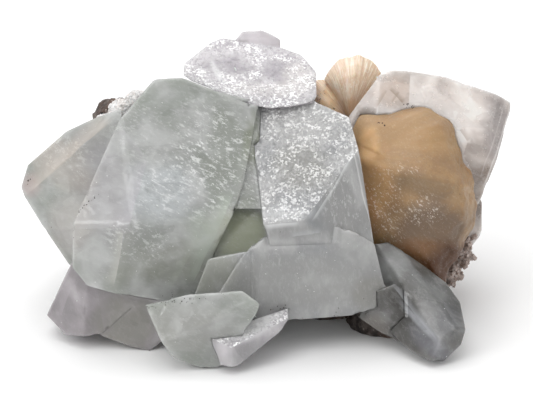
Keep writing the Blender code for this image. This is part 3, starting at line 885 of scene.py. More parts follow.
    ROSE = CrystalFinish(
        "rose_glass", body=seen(242, 234, 229), deep=seen(206, 197, 192), milk=seen(250, 244, 240),
        clear=0.25, cloud=0.35, feathers=0.25, grain=35.0, mosaic=0.07, edge=0.35, polish=0.14,
        absorb=(0.88, 0.85, 0.84),
        tints=(
            Tint(53.0, 3.0, 9.0, 11.0, seen(148, 135, 126), 0.9),
            Tint(31.5, 26.0, 7.0, 5.0, seen(222, 208, 198), 0.8),
            Tint(56.0, 18.0, 5.0, 13.0, seen(176, 168, 166), 0.85),
            Tint(50.0, 11.0, 5.0, 5.0, seen(190, 180, 174), 0.7),
        ),
        seams=(
            SeamOrEdgeHighlight((29.4, 26.8), (33.0, 23.0), 1.6, seen(176, 158, 142), 0.7),
            SeamOrEdgeHighlight((26.5, 22.2), (29.4, 26.6), 1.2, seen(188, 170, 154), 0.6),
            SeamOrEdgeHighlight((30.3, 23.2), (32.5, 26.1), 0.9, seen(186, 168, 152), 0.6),
            SeamOrEdgeHighlight((34.7, 30.9), (34.4, 22.7), 5.0, seen(252, 247, 244), 0.7),
            # Painted highlights: a pale double line along the right crystal's edge.
            SeamOrEdgeHighlight((59.9, 23.7), (52.6, 2.4), 0.6, seen(244, 238, 236), 0.8),
            SeamOrEdgeHighlight((58.2, 23.7), (51.6, 4.9), 0.5, seen(236, 230, 228), 0.6),
            SeamOrEdgeHighlight((46.9, 17.4), (48.8, 14.1), 2.0, seen(184, 172, 164), 0.6),
            SeamOrEdgeHighlight((48.8, 14.1), (47.6, 10.7), 2.5, seen(176, 164, 157), 0.6),
            SeamOrEdgeHighlight((47.6, 10.7), (50.8, 5.8), 3.0, seen(170, 158, 150), 0.6),
            SeamOrEdgeHighlight((51.4, 19.4), (56.7, 14.6), 3.0, seen(206, 198, 194), 0.5),
            SeamOrEdgeHighlight((49.3, 16.5), (51.7, 19.9), 2.0, seen(236, 229, 225), 0.5),
        ),
    )
    VEIL = VeilFinish("cleavage_flakes")
    PEACH = StilbiteFinish(
        "peach_stilbite", light=seen(174, 142, 103), body=seen(156, 125, 92), trough=seen(132, 106, 80),
        foot=seen(90, 54, 24), sheen=0.08, flecks=0.9, fibres=0.02,
        crowds=(
            Spot(28.0, -1.0, 6.0, 12.0, 1.0, -10.0),
            Spot(36.5, -2.5, 7.0, 5.0, 0.9),
            Spot(30.0, 7.0, 9.0, 3.0, 0.7),
        ),
        tints=(
            Tint(34.0, 15.0, 20.0, 5.0, seen(178, 144, 102), 0.8, 8.0),
            Tint(38.0, 3.0, 12.0, 4.0, seen(134, 114, 88), 0.6, 15.0),
            Tint(26.0, 5.0, 5.0, 12.0, seen(198, 158, 112), 0.8),
            Tint(38.0, -2.8, 6.0, 4.0, seen(168, 150, 134), 0.5),
            Tint(24.0, -2.0, 3.0, 10.0, seen(166, 124, 84), 0.6, -12.0),
            Tint(24.5, 13.0, 3.0, 6.0, seen(220, 180, 130), 0.85),
            # Painted shade: darker towards the bottom of the sheaf.
            Tint(40.0, -6.0, 14.0, 8.0, seen(116, 96, 78), 0.9),
            Tint(37.0, -12.0, 8.0, 4.0, seen(134, 96, 62), 0.8),
            Tint(44.5, -16.0, 10.0, 8.0, seen(84, 50, 22), 0.98),
        ),
    )
    PALE_PEACH = StilbiteFinish(
        "pale_peach_stilbite", light=seen(230, 210, 188), body=seen(220, 194, 166),
        trough=seen(196, 162, 130), foot=seen(200, 160, 122), sheen=1.0, flecks=0.9, fibres=0.6,
        crowds=(Spot(22.0, 29.0, 9.0, 7.0, 1.0),),
        tints=(
            Tint(15.5, 24.0, 3.5, 5.0, seen(240, 208, 170), 0.9),
            Tint(20.5, 23.0, 4.0, 3.0, seen(216, 180, 142), 0.7),
        ),
    )
    WHITE_DRUSE = DruseFinish("white_crust", seen(253, 251, 250), seen(244, 238, 234))
    ROSE_DRUSE = DruseFinish("rose_crust", seen(191, 174, 166), seen(140, 121, 110))
    BASALT = BasaltFinish("weathered_basalt")
    SPECK = BasaltFinish(
        "dark_grains", dark=seen(34, 28, 26), grey=seen(58, 46, 42), brown=seen(92, 56, 46),
        speck=seen(70, 60, 56),
    )
    FLOOR = FloorFinish()


def dress(obj: Object, finish: Finish) -> None:
    """Gives an object a finish."""
    obj.data.materials.clear()
    obj.data.materials.append(finish.value.material())


def added(name: str, data: Any) -> Object:
    """Adds an object to the scene.

    Args:
        name: the object's name.
        data: its mesh, lamp or camera.

    Returns:
        The object, at the origin.
    """
    obj = bpy.data.objects.new(name, data)
    bpy.context.scene.collection.objects.link(obj)
    return obj


def settled(obj: Object) -> Object:
    """Gives an object the plain mesh that its modifiers make, and removes them.

    Args:
        obj: the object.

    Returns:
        The same object.
    """
    graph = bpy.context.evaluated_depsgraph_get()
    made = bpy.data.meshes.new_from_object(obj.evaluated_get(graph))
    obj.modifiers.clear()
    obj.data = made
    made.name = obj.name
    return obj


def mesh_object(name: str, points: np.ndarray, faces: np.ndarray) -> Object:
    """An object in the scene with a smooth-shaded mesh.

    Args:
        name: the object's name.
        points: its points in millimetres, one row each.
        faces: the numbers of the corners of its faces, one row each.

    Returns:
        The object, at the origin.
    """
    mesh = bpy.data.meshes.new(name)
    sides = faces.shape[1]
    mesh.vertices.add(len(points))
    mesh.vertices.foreach_set("co", (points * MM).astype(np.float32).ravel())
    mesh.loops.add(faces.size)
    mesh.loops.foreach_set("vertex_index", faces.astype(np.int32).ravel())
    mesh.polygons.add(len(faces))
    mesh.polygons.foreach_set("loop_start", np.arange(0, faces.size, sides, dtype=np.int32))
    mesh.polygons.foreach_set("loop_total", np.full(len(faces), sides, dtype=np.int32))
    mesh.polygons.foreach_set("use_smooth", np.ones(len(faces), dtype=bool))
    mesh.update(calc_edges=True)
    mesh.validate()
    return added(name, mesh)


def carry(mesh: Mesh, name: str, values: Any, domain: str = "POINT") -> None:
    """Stores a value for each point, or each FACE, in a mesh."""
    attribute = mesh.attributes.new(name, "FLOAT", domain)
    attribute.data.foreach_set("value", np.asarray(values, np.float32))


def rows_of(items: Any, name: str) -> np.ndarray:
    """Reads a vector of each item of a mesh.

    Args:
        items: the mesh's points or normals.
        name: what the vector is called.

    Returns:
        The vectors, one row each.
    """
    flat = np.empty(len(items) * 3, np.float32)
    items.foreach_get(name, flat)
    return flat.reshape(-1, 3).astype(float)


def points_of(mesh: Mesh) -> np.ndarray:
    """The points of a mesh in millimetres, one row each."""
    return rows_of(mesh.vertices, "co") / MM


def normals_of(mesh: Mesh) -> np.ndarray:
    """The normals of a mesh's points, one row each."""
    return rows_of(mesh.vertex_normals, "vector")


def place_points(mesh: Mesh, points: np.ndarray) -> None:
    """Moves a mesh's points to new places in millimetres, none of them under the floor.

    Args:
        mesh: the mesh.
        points: their new places.
    """
    lifted = np.maximum(points, (-np.inf, -np.inf, 0.0))
    mesh.vertices.foreach_set("co", (lifted * MM).astype(np.float32).ravel())
    mesh.update()


def moved_out(places: np.ndarray, normals: np.ndarray, height: np.ndarray) -> np.ndarray:
    """Places moved out along their normals, those of the flat cut staying on the floor.

    Args:
        places: places in millimetres, one row each.
        normals: their normals.
        height: how far each one moves.

    Returns:
        The new places, none of them under the floor.
    """
    moved = places + normals * height[:, None]
    moved[:, 2] = np.where(places[:, 2] < FLOOR_TOUCH, 0.0, np.maximum(moved[:, 2], 0.0))
    return moved


def merged(node: str) -> bmesh.types.BMesh:
    """A copy of a CAD node's mesh in which the triangles share their points.

    Args:
        node: the node's name.

    Returns:
        The copy, in metres.
    """
    body = bmesh.new()
    body.from_mesh(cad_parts[node].data)
    bmesh.ops.remove_doubles(body, verts=body.verts, dist=2e-6)
    return body


def rough_copy(name: str, node: str) -> Object:
    """An object with a copy of a CAD node's mesh.

    Args:
        name: the object's name.
        node: the CAD node.

    Returns:
        The object, at the origin.
    """
    body = merged(node)
    mesh = bpy.data.meshes.new(name)
    body.to_mesh(mesh)
    body.free()
    return added(name, mesh)


def remeshed(name: str, node: str, voxel: float, rounds: int) -> Object:
    """A CAD solid as an even net of small faces, with its ridges softened.

    Args:
        name: the object's name.
        node: the CAD node.
        voxel: the size of the faces, in millimetres.
        rounds: how many times the net is smoothed.

    Returns:
        The object, at the origin.
    """
    obj = rough_copy(name, node)
    net = obj.modifiers.new("net", "REMESH")
    net.mode = "VOXEL"
    net.voxel_size = voxel * MM
    net.use_smooth_shade = True
    soften = obj.modifiers.new("soften", "SMOOTH")
    soften.factor = 0.5
    soften.iterations = rounds
    return settled(obj)


class Growth(Wiring):
    """A tree of geometry nodes that sets small copies of one shape on a mesh, with named inputs."""

    def __init__(self, name: str, sizes: tuple[str, ...] = ()) -> None:
        """Starts the tree.

        Args:
            name: the tree's name.
            sizes: the names of the inputs that are plain numbers.
        """
        super().__init__(bpy.data.node_groups.new(name, "GeometryNodeTree"))
        kinds = {"Geometry": "Geometry", **dict.fromkeys(sizes, "Float")}
        kinds |= {"Seed": "Int", "Material": "Material"}
        for label, kind in kinds.items():
            self.tree.interface.new_socket(label, in_out="INPUT", socket_type="NodeSocket" + kind)
        self.tree.interface.new_socket("Geometry", in_out="OUTPUT", socket_type="NodeSocketGeometry")
        self.given = self.node("NodeGroupInput").outputs

    def carried(self, name: str) -> Socket:
        """A value that the mesh carries at each point."""
        return self.node("GeometryNodeInputNamedAttribute", {"Name": name}, data_type="FLOAT").outputs[0]

    def above(self, value: Any, limit: float) -> Socket:
        """Whether a value is above a limit."""
        settings = {"data_type": "FLOAT", "operation": "GREATER_THAN"}
        return self.node("FunctionNodeCompare", {0: value, 1: limit}, **settings).outputs[0]

    def chance(self, low: Any, high: Any, seed: Any) -> Socket:
        """A random number between two others, or a random vector between two vectors.

        Args:
            low: the least value.
            high: the greatest value.
            seed: chooses the random values.

        Returns:
            The socket with the value.
        """
        kind, first, result = ("FLOAT_VECTOR", 0, 0) if isinstance(low, tuple) else ("FLOAT", 2, 1)
        inputs = {first: low, first + 1: high, "Seed": seed}
        return self.node("FunctionNodeRandomValue", inputs, data_type=kind).outputs[result]

    def scattered(self, where: Socket) -> Any:
        """Scatters points over the mesh by its Density and Seed.

        Args:
            where: whether a place may have points.

        Returns:
            The outputs with the points, their normals and their rotations.
        """
        inputs = {"Mesh": self.given["Geometry"], "Selection": where}
        inputs |= {name: self.given[name] for name in ("Density", "Seed")}
        return self.node("GeometryNodeDistributePointsOnFaces", inputs).outputs

    def copies(self, inputs: dict[str, Any]) -> Socket:
        """Sets a copy of a shape on each point."""
        return self.node("GeometryNodeInstanceOnPoints", inputs).outputs[0]

    def finished(self, geometry: Socket) -> Tree:
        """Makes the copies real and gives them the material.

        Args:
            geometry: the copies.

        Returns:
            The finished tree.
        """
        real = self.node("GeometryNodeRealizeInstances", {"Geometry": geometry}).outputs[0]
        inputs = {"Geometry": real, "Material": self.given["Material"]}
        dressed = self.node("GeometryNodeSetMaterial", inputs).outputs[0]
        self.node("NodeGroupOutput", {"Geometry": dressed})
        return self.tree


def grown(name: str, mesh: Mesh, tree: Tree, values: dict[str, Any]) -> Object:
    """What a tree of geometry nodes makes from a mesh, as an object with a plain mesh.

    Args:
        name: the object's name.
        mesh: the mesh that the tree is given.
        tree: the tree.
        values: the tree's inputs by name.

    Returns:
        The object, at the origin.
    """
    obj = added(name, mesh)
    modifier = obj.modifiers.new("grow", "NODES")
    modifier.node_group = tree
    for item in tree.interface.items_tree:
        if item.in_out == "INPUT" and item.name in values:
            modifier[item.identifier] = values[item.name]
    return settled(obj)


class Neighbours:
    """Tells how near the other pieces of the cluster are."""

    def __init__(self, node: str) -> None:
        """Gathers every other node's triangles.

        Args:
            node: the node that asks.
        """
        points: list[Vector] = []
        faces: list[tuple[int, ...]] = []
        for name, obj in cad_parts.items():
            if name != node:
                start = len(points)
                points += [vertex.co / MM for vertex in obj.data.vertices]
                faces += [tuple(start + index for index in face.vertices) for face in obj.data.polygons]
        self.tree = BVHTree.FromPolygons(points, faces)

    def distances(self, places: np.ndarray, reach: float) -> np.ndarray:
        """How far each place is from the nearest other piece, in millimetres and at most reach."""
        found = (self.tree.find_nearest(Vector(place), reach)[3] for place in places)
        return np.array([reach if distance is None else distance for distance in found])

    def contact(self, places: np.ndarray, free: float, close: float) -> np.ndarray:
        """How much each place touches another piece, from 0 at the distance free to 1 at close."""
        return smooth(self.distances(places, free + 0.1), free, close)


def in_drawing(places: np.ndarray) -> np.ndarray:
    """Places on the standing specimen as places in the drawing.

    Args:
        places: places in millimetres, one row each.

    Returns:
        Their x, z and near, one row each.
    """
    back = np.array(STAND.inverted())
    local = places @ back[:3, :3].T + back[:3, 3]
    return np.stack([local[:, 0], local[:, 2], -local[:, 1]], axis=1)


@dataclass(frozen=True)
class Hillock:
    """A low stepped pyramid that grew on a face, round a place of the drawing."""

    x: float
    z: float
    width: float
    height: float
    turn: float = 0.0
    steps: int = 4
    rise: float = 0.4

    def lift(self, drawing: np.ndarray) -> np.ndarray:
        """How far the pyramid lifts each place.

        Args:
            drawing: places in the drawing, one row each.

        Returns:
            The heights in millimetres.
        """
        angle = math.radians(self.turn)
        x, z = drawing[:, 0] - self.x, drawing[:, 1] - self.z
        along = x * math.cos(angle) + z * math.sin(angle)
        up = z * math.cos(angle) - x * math.sin(angle)
        inward = 1.0 - np.maximum(np.abs(along) / self.width, np.abs(up) / self.height)
        level = np.clip(inward, 0.0, 1.0) * self.steps
        return self.rise * (np.floor(level) + smooth(level % 1.0, 0.0, 0.25) * (level > 0.0)) / self.steps


@dataclass(frozen=True)
class Relief:
    """The relief of a crystal's faces, in millimetres."""

    spacing: float = 0.42
    wave: float = 0.07
    wave_size: float = 8.0
    step: float = 0.09
    step_size: float = 7.0
    line: float = 0.018
    line_pitch: float = 1.1
    grit: float = 0.05
    grit_size: float = 0.9
    wear: float = 0.08
    rim: float = 0.24
    chip: float = 0.35
    fillet: float = 0.9


@dataclass
class Face:
    """One flat face of a crystal, in its own plane."""

    corners: list[int]
    normal: np.ndarray
    across: np.ndarray
    up: np.ndarray
    shown: bool
    spacing: float

    def flat(self, points: np.ndarray) -> np.ndarray:
        """Points as seen in the plane of the face."""
        return np.stack([points @ self.across, points @ self.up], axis=1)


@dataclass
class FineFaces:
    """The flat faces of a CAD solid divided finely, with a narrow band along each sharp edge that is worn
    in the relief and carries a painted highlight.
    """

    node: str
    growth: Vector
    relief: Relief
    seed: int
    points: list[np.ndarray] = field(default_factory=list)
    triangles: list[np.ndarray] = field(default_factory=list)
    owners: list[np.ndarray] = field(default_factory=list)

    CONTACT = 0.75
    CONTACT_REACH = 2.0
    SAMPLES = (0.0, 0.35, 0.7, 0.9)
    BURIED = 0.85
    LEAST_AREA = 0.3
    REAR = 0.35
    HIDDEN_SPACING = 2.2
    REAR_SPACING = 0.75
    FLAT = math.radians(0.6)
    SHARP = math.radians(7.0)
    KEEN = math.radians(75.0)
    # How far the rim share reaches from a sharp edge, and its least strength. The rim share is the painted
    # edge highlight in the material and the mask of the worn edge in the relief.
    RIM_WIDTH = 0.26
    LEAST_RIM = 0.12
    ROW = 0.866
    SCATTER = 0.14

    def build(self) -> None:
        """Divides the faces, finds which are in contact with other pieces, and works out the relief."""
        body = merged(self.node)
        bmesh.ops.dissolve_limit(body, angle_limit=self.FLAT, verts=body.verts, edges=body.edges)
        body.verts.ensure_lookup_table()
        self.others = Neighbours(self.node)
        corners = np.array([vertex.co for vertex in body.verts]) / MM
        self.faces = [self.face_of(face, corners) for face in body.faces]
        self.count = len(corners)
        self.points = [corners]
        self.rows: dict[tuple[int, int], list[int]] = {}
        self.sharp: dict[tuple[int, int], float] = {}
        for edge in body.edges:
            self.divide(edge, corners)
        self.normals = np.zeros((self.count, 3))
        self.edge_distance = np.full(self.count, FAR)
        self.rim = np.zeros(self.count)
        self.rounding = np.zeros(self.count)
        self.known = np.concatenate(self.points)
        for number, face in enumerate(self.faces):
            self.fill(number, face, np.random.default_rng(self.seed * 1000 + number))
        body.free()
        self.places = np.concatenate(self.points)
        self.mesh_faces = np.concatenate(self.triangles)
        self.owner = np.concatenate(self.owners)
        lengths = np.linalg.norm(self.normals, axis=1, keepdims=True)
        self.normals /= np.maximum(lengths, 1e-9)

    def face_of(self, face: bmesh.types.BMFace, corners: np.ndarray) -> Face:
        """Reads one flat face and finds whether it shows.

        Args:
            face: the face.
            corners: the solid's corners in millimetres.

        Returns:
            The face in its own plane.
        """
        normal = np.array(face.normal)
        across = np.cross(np.array(self.growth), normal)
        if np.linalg.norm(across) < 0.2:
            across = np.cross(np.array([1.0, 0.1, 0.0]), normal)
        across /= np.linalg.norm(across)
        ring = [vertex.index for vertex in face.verts]
        shape = corners[ring]
        middle = np.array(face.calc_center_median()) / MM
        tries = np.concatenate([middle + (shape - middle) * share for share in self.SAMPLES])
        near = self.others.distances(tries, self.CONTACT_REACH) < self.CONTACT
        shown = bool(near.mean() < self.BURIED) and face.calc_area() > self.LEAST_AREA * MM * MM
        spacing = self.relief.spacing if normal[1] < self.REAR else self.REAR_SPACING
        spacing = spacing if shown else self.HIDDEN_SPACING
        return Face(ring, normal, across, np.cross(normal, across), shown, spacing)

    def divide(self, edge: bmesh.types.BMEdge, corners: np.ndarray) -> None:
        """Divides an edge evenly, and notes whether it is a sharp edge that shows.

        Args:
            edge: the edge.
            corners: the solid's corners in millimetres.
        """
        first, last = sorted(vertex.index for vertex in edge.verts)
        beside = [self.faces[face.index] for face in edge.link_faces]
        spacing = min(face.spacing for face in beside)
        start, end = corners[first], corners[last]
        parts = max(1, round(np.linalg.norm(end - start) / spacing))
        shares = np.arange(1, parts)[:, None] / parts
        self.points.append(start + (end - start) * shares)
        self.rows[first, last] = [first, *range(self.count, self.count + parts - 1), last]
        self.count += parts - 1
        angle = edge.calc_face_angle(0.0)
        if all(face.shown for face in beside) and angle > self.SHARP:
            self.sharp[first, last] = angle

    def fill(self, number: int, face: Face, random: np.random.Generator) -> None:
        """Covers one face with triangles.

        Args:
            number: the face's number.
            face: the face.
            random: sets its points out of line a little.
        """
        ring, sides = self.sides_of(face)
        height = float(self.known[ring[0]] @ face.normal)
        outline = face.flat(self.known[ring])
        inner = self.inside_points(face, sides, outline, random)
        numbers = np.array(ring + list(range(self.count, self.count + len(inner))))
        lifted = inner[:, :1] * face.across + inner[:, 1:] * face.up + height * face.normal
        self.points.append(lifted)
        self.known = np.concatenate([self.known, lifted])
        self.count += len(inner)
        found = self.triangles_in(outline, inner)
        self.triangles.append(numbers[found])
        self.owners.append(np.full(len(found), number))
        self.make_room(len(inner))
        self.normals[numbers] += face.normal
        self.mark_edges(numbers, np.concatenate([outline, inner]), [side for side in sides if side[2]])

    def sides_of(self, face: Face) -> tuple[list[int], list[tuple]]:
        """The divided outline of a face.

        Args:
            face: the face.

        Returns:
            The numbers of the points round it, and for each side its two ends, its angle where it is
            sharp and the points between the ends, all in the plane of the face.
        """
        ring: list[int] = []
        sides = []
        for first, second in zip(face.corners, face.corners[1:] + face.corners[:1]):
            key = min(first, second), max(first, second)
            row = self.rows[key] if first < second else self.rows[key][::-1]
            ring += row[:-1]
            ends = face.flat(self.known[[first, second]])
            between = face.flat(self.known[row[1:-1]]).reshape(-1, 2)
            sides.append((ends[0], ends[1], self.sharp.get(key, 0.0), between))
        return ring, sides

    @staticmethod
    def triangles_in(outline: np.ndarray, inner: np.ndarray) -> np.ndarray:
        """Divides a face into triangles.

        Args:
            outline: the points round it, in its plane.
            inner: the points inside it.

        Returns:
            The numbers of the corners of each triangle, the outline's first, anticlockwise.
        """
        coords = [Vector(point) for point in np.concatenate([outline, inner])]
        ring = list(range(len(outline)))
        flat, _, triangles, origins, _, _ = delaunay_2d_cdt(coords, [], [ring], 1, 1e-7)
        back = np.array([origin[0] if origin else 0 for origin in origins])
        found = np.array([triangle for triangle in triangles if len(triangle) == 3])
        found = found[(np.diff(np.sort(back[found], axis=1), axis=1) > 0).all(axis=1)]
        shape = np.array(flat)[found]
        a, b = shape[:, 1] - shape[:, 0], shape[:, 2] - shape[:, 0]
        turned = a[:, 0] * b[:, 1] - a[:, 1] * b[:, 0] < 0
        found[turned] = found[turned][:, ::-1]
        return back[found]

    def make_room(self, extra: int) -> None:
        """Gives new points their first values.

        Args:
            extra: how many points are new.
        """
        self.normals = np.concatenate([self.normals, np.zeros((extra, 3))])
        self.edge_distance = np.concatenate([self.edge_distance, np.full(extra, FAR)])
        self.rim = np.concatenate([self.rim, np.zeros(extra)])
        self.rounding = np.concatenate([self.rounding, np.zeros(extra)])

    def mark_edges(self, numbers: np.ndarray, flat: np.ndarray, keen: list[tuple]) -> None:
        """Notes how near a face's points are to its sharp sides, how strong the painted highlight along
        them is, and how far the sides are rounded.

        Args:
            numbers: the numbers of the face's points.
            flat: the points in the plane of the face.
            keen: the sharp sides.
        """
        nearest = self.to_sides(flat, keen)
        self.edge_distance[numbers] = np.minimum(self.edge_distance[numbers], nearest)
        for side in keen:
            away, angle = self.to_sides(flat, [side]), side[2]
            # The rim share: painted highlight along the edge in the material, worn edge in the relief.
            share = min(1.0, max(self.LEAST_RIM, (angle / self.KEEN) ** 2))
            bright = share * np.exp(-((away / self.RIM_WIDTH) ** 2))
            self.rim[numbers] = np.maximum(self.rim[numbers], bright)
            blunt = max(0.0, 1.0 - angle / self.KEEN)
            width = self.relief.rim + (self.relief.fillet - self.relief.rim) * blunt
            sunk = np.maximum(width - away, 0.0) ** 2 * math.tan(angle / 2.0) / (2.0 * width)
            self.rounding[numbers] = np.maximum(self.rounding[numbers], sunk)

    @staticmethod
    def to_sides(points: np.ndarray, sides: list[tuple]) -> np.ndarray:
        """The distance from each point to the nearest of some sides.

        Args:
            points: points in the plane of the face.
            sides: the sides, each with its two ends first.

        Returns:
            The distances, at most FAR.
        """
        nearest = np.full(len(points), FAR)
        for start, end, *_ in sides:
            along = end - start
            share = np.clip((points - start) @ along / max(along @ along, 1e-12), 0.0, 1.0)
            nearest = np.minimum(nearest, np.linalg.norm(points - start - share[:, None] * along, axis=1))
        return nearest

    def inside_points(
        self, face: Face, sides: list[tuple], outline: np.ndarray, random: np.random.Generator
    ) -> np.ndarray:
        """Points inside a face: a row along each sharp edge, and an even scatter over the rest.

        Args:
            face: the face.
            sides: its sides.
            outline: its divided outline.
            random: sets the points out of line a little.

        Returns:
            The points in the plane of the face.
        """
        rim, spacing = self.relief.rim, face.spacing
        kept = [np.empty((0, 2))]
        for start, end, sharp, row in sides:
            if sharp and len(row):
                along = (end - start) / np.linalg.norm(end - start)
                kept.append(row + rim * np.array([-along[1], along[0]]))
        rows = np.concatenate(kept)
        low, high = outline.min(0), outline.max(0)
        steps = np.arange(low[1], high[1], spacing * self.ROW)
        columns = np.arange(low[0], high[0], spacing)
        grid = np.stack(np.meshgrid(columns, steps), axis=2)
        grid[1::2, :, 0] += spacing / 2.0
        grid = grid.reshape(-1, 2)
        grid = grid + random.uniform(-self.SCATTER, self.SCATTER, grid.shape) * spacing
        rows = rows[self.within(rows, outline) & (self.to_sides(rows, sides) > 0.9 * rim)]
        clear = self.within(grid, outline) & (self.to_sides(grid, sides) > 0.55 * spacing)
        clear &= self.to_sides(grid, [side for side in sides if side[2]]) > rim + 0.5 * spacing
        return np.concatenate([rows, grid[clear]])

    @staticmethod
    def within(points: np.ndarray, outline: np.ndarray) -> np.ndarray:
        """Which points are inside an outline.

        Args:
            points: the points.
            outline: the outline's corners in order.

        Returns:
            True for each point inside.
        """
        inside = np.zeros(len(points), dtype=bool)
        for (ax, ay), (bx, by) in zip(outline, np.roll(outline, -1, axis=0)):
            if ay != by:
                crosses = (ay > points[:, 1]) != (by > points[:, 1])
                at = ax + (points[:, 1] - ay) * (bx - ax) / (by - ay)
                inside ^= crosses & (points[:, 0] < at)
        return inside


@dataclass
class Crystal:
    """A crystal of the cluster: its CAD solid with finely worked faces, and the flakes inside it.

    frosted lists the faces that are etched, each as the way that it faces in the drawing, right, near
    and up, with how frosted it is.
    """

    node: str
    finish: Finish
    slot: str
    seed: int
    growth: tuple[float, float, float] = (0.2, 0.0, 1.0)
    relief: Relief = Relief()
    frosted: tuple[tuple[float, float, float, float], ...] = ()
    hillocks: tuple[Hillock, ...] = ()
    flakes: float = 0.0
    flake_turn: float = 25.0

    FROST_REACH = math.cos(math.radians(14.0))
    FRONT = -0.5
    INSET = 5.0

    def build(self) -> list[Object]:
        """Builds and dresses the crystal.

        Returns:
            Its objects.
        """
        growth = (STAND.to_3x3() @ Vector((self.growth[0], -self.growth[1], self.growth[2]))).normalized()
        fine = FineFaces(self.node, growth, self.relief, self.seed)
        fine.build()
        contact = fine.others.contact(fine.places, 0.95, 0.5)
        frost = np.array([self.frost_of(face.normal) for face in fine.faces])
        frost_at = np.zeros(fine.count)
        np.maximum.at(frost_at, fine.mesh_faces.ravel(), np.repeat(frost[fine.owner], 3))
        height = self.heights(fine, growth, frost_at)
        height = height * (1.0 - contact) + PUSH * contact
        moved = moved_out(fine.places, fine.normals, height)
        obj = mesh_object(self.node.replace("_crystal", "_apophyllite"), moved, fine.mesh_faces)
        if len(obj.data.polygons) == len(fine.owner):
            carry(obj.data, "frost", frost[fine.owner], "FACE")
        # The rim share carries the painted highlight along the sharp edges, and none where pieces touch.
        carry(obj.data, "rim", fine.rim * (1.0 - contact))
        carry(obj.data, "inset", np.minimum(fine.edge_distance, self.INSET) * (1.0 - contact))
        dress(obj, self.finish)
        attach(obj, BODY)
        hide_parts(self.node)
        made = [obj]
        if self.flakes > 0.0:
            name = self.node.replace("_crystal", "_flakes")
            made.append(Flakes(name, self.flakes, self.flake_turn, self.seed).build(obj, self.slot))
        return made

    def frost_of(self, normal: np.ndarray) -> float:
        """How frosted a face is that faces a given way.

        Args:
            normal: the way it faces on the standing specimen.

        Returns:
            From 0, clear, to 1.
        """
        facing = STAND.to_3x3().inverted() @ Vector(normal)
        frost = 0.0
        for right, near, up, strength in self.frosted:
            if facing.dot(Vector((right, -near, up)).normalized()) > self.FROST_REACH:
                frost = max(frost, strength)
        return frost

    def heights(self, fine: FineFaces, growth: Vector, frost: np.ndarray) -> np.ndarray:
        """How far each point stands out from the flat face that it is on.

        Args:
            fine: the divided faces.
            growth: the direction that the crystal grew in.
            frost: how frosted the crystal is at each point.

        Returns:
            The heights in millimetres.
        """
        r, places, seed = self.relief, fine.places, self.seed * 31
        away = fine.edge_distance
        inner = smooth(away, 0.2, 1.4)
        height = r.wave * layered_noise(places, r.wave_size, seed) * inner
        terraces = layered_noise(places, r.step_size, seed + 5, 2) * 3.0
        height += r.step * (np.floor(terraces) + smooth(terraces % 1.0, 0.88, 1.0)) / 3.0 * inner
        up = np.array(growth)
        across = places - np.outer(places @ up, up)
        lines = lattice_noise(across / r.line_pitch + 0.02 * places, seed + 9)
        height += r.line * lines * inner
        grit = layered_noise(places, r.grit_size, seed + 13, 2) * smooth(away, 0.1, 0.6)
        height += r.grit * (0.25 + 1.6 * frost) * grit
        ragged = layered_noise(places, 2.6, seed + 21, 3)
        height -= r.wear * (0.55 + 0.9 * np.abs(ragged)) * np.maximum(fine.rim - fine.LEAST_RIM, 0.0)
        front = (fine.normals @ np.array(STAND.to_3x3()))[:, 1] < self.FRONT
        for hillock in self.hillocks:
            height += hillock.lift(in_drawing(places)) * front * inner
        chips = smooth(layered_noise(places, 3.4, seed + 27, 2), 0.30, 0.62)
        return height - fine.rounding - r.chip * chips * smooth(away, 0.9, 0.0)


@dataclass
class Flakes:
    """Cleavage flakes inside a crystal, scattered under its faces by a tree of geometry nodes."""

    name: str
    density: float
    turn: float
    seed: int
    least_depth: float = 0.5
    depth: float = 6.0
    size: float = 1.0

    EDGE_MARGIN = 1.1
    FLOOR_MARGIN = 1.5
    SHAPE = (1.0, 0.07, 0.42)
    TILT = (0.35, 0.22, 0.35)

    def tree(self) -> Tree:
        """Builds the tree.

        Returns:
            The tree, with its sizes as named inputs.
        """
        w = Growth(self.name, ("Density", "Least Depth", "Depth", "Size", "Turn"))
        given = w.given
        points = w.scattered(w.above(w.carried("inset"), self.EDGE_MARGIN))
        deep = w.maths("POWER", w.chance(0.0, 1.0, given["Seed"]), 2.2)
        sunk = w.maths("MULTIPLY_ADD", deep, given["Depth"], given["Least Depth"])
        inward = w.vector("SCALE", {0: points["Normal"], "Scale": w.times(sunk, -1.0)})
        sinking = {"Geometry": points["Points"], "Offset": inward}
        spot = w.node("GeometryNodeInputPosition").outputs[0]
        up = w.node("ShaderNodeSeparateXYZ", {0: spot}).outputs[2]
        ball = w.node("GeometryNodeMeshIcoSphere", {"Radius": 1.0, "Subdivisions": 1}).outputs[0]
        flake = w.node("GeometryNodeTransform", {"Geometry": ball, "Scale": self.SHAPE}).outputs[0]
        tilt = w.chance(tuple(-most for most in self.TILT), self.TILT, 7)
        base = w.node("ShaderNodeCombineXYZ", {"X": -LEAN, "Y": given["Turn"]}).outputs[0]
        return w.finished(w.copies({
            "Points": w.node("GeometryNodeSetPosition", sinking).outputs[0],
            "Selection": w.above(up, self.FLOOR_MARGIN * MM),
            "Instance": flake,
            "Rotation": w.vector("ADD", {0: tilt, 1: base}),
            "Scale": w.times(w.chance(0.35, 1.0, 11), given["Size"]),
        }))

    def build(self, host: Object, slot: str) -> Object:
        """Scatters the flakes inside a crystal.

        Args:
            host: the crystal's object.
            slot: the record's material slot of the crystal; not used.

        Returns:
            The flakes as one plain mesh.
        """
        values = {
            "Density": self.density / (MM * MM),
            "Least Depth": self.least_depth * MM,
            "Depth": self.depth * MM,
            "Size": self.size * MM,
            "Turn": math.radians(self.turn),
            "Seed": self.seed,
            "Material": Finish.VEIL.value.material(),
        }
        obj = grown(self.name, host.data, self.tree(), values)
        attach(obj, BODY)
        return obj


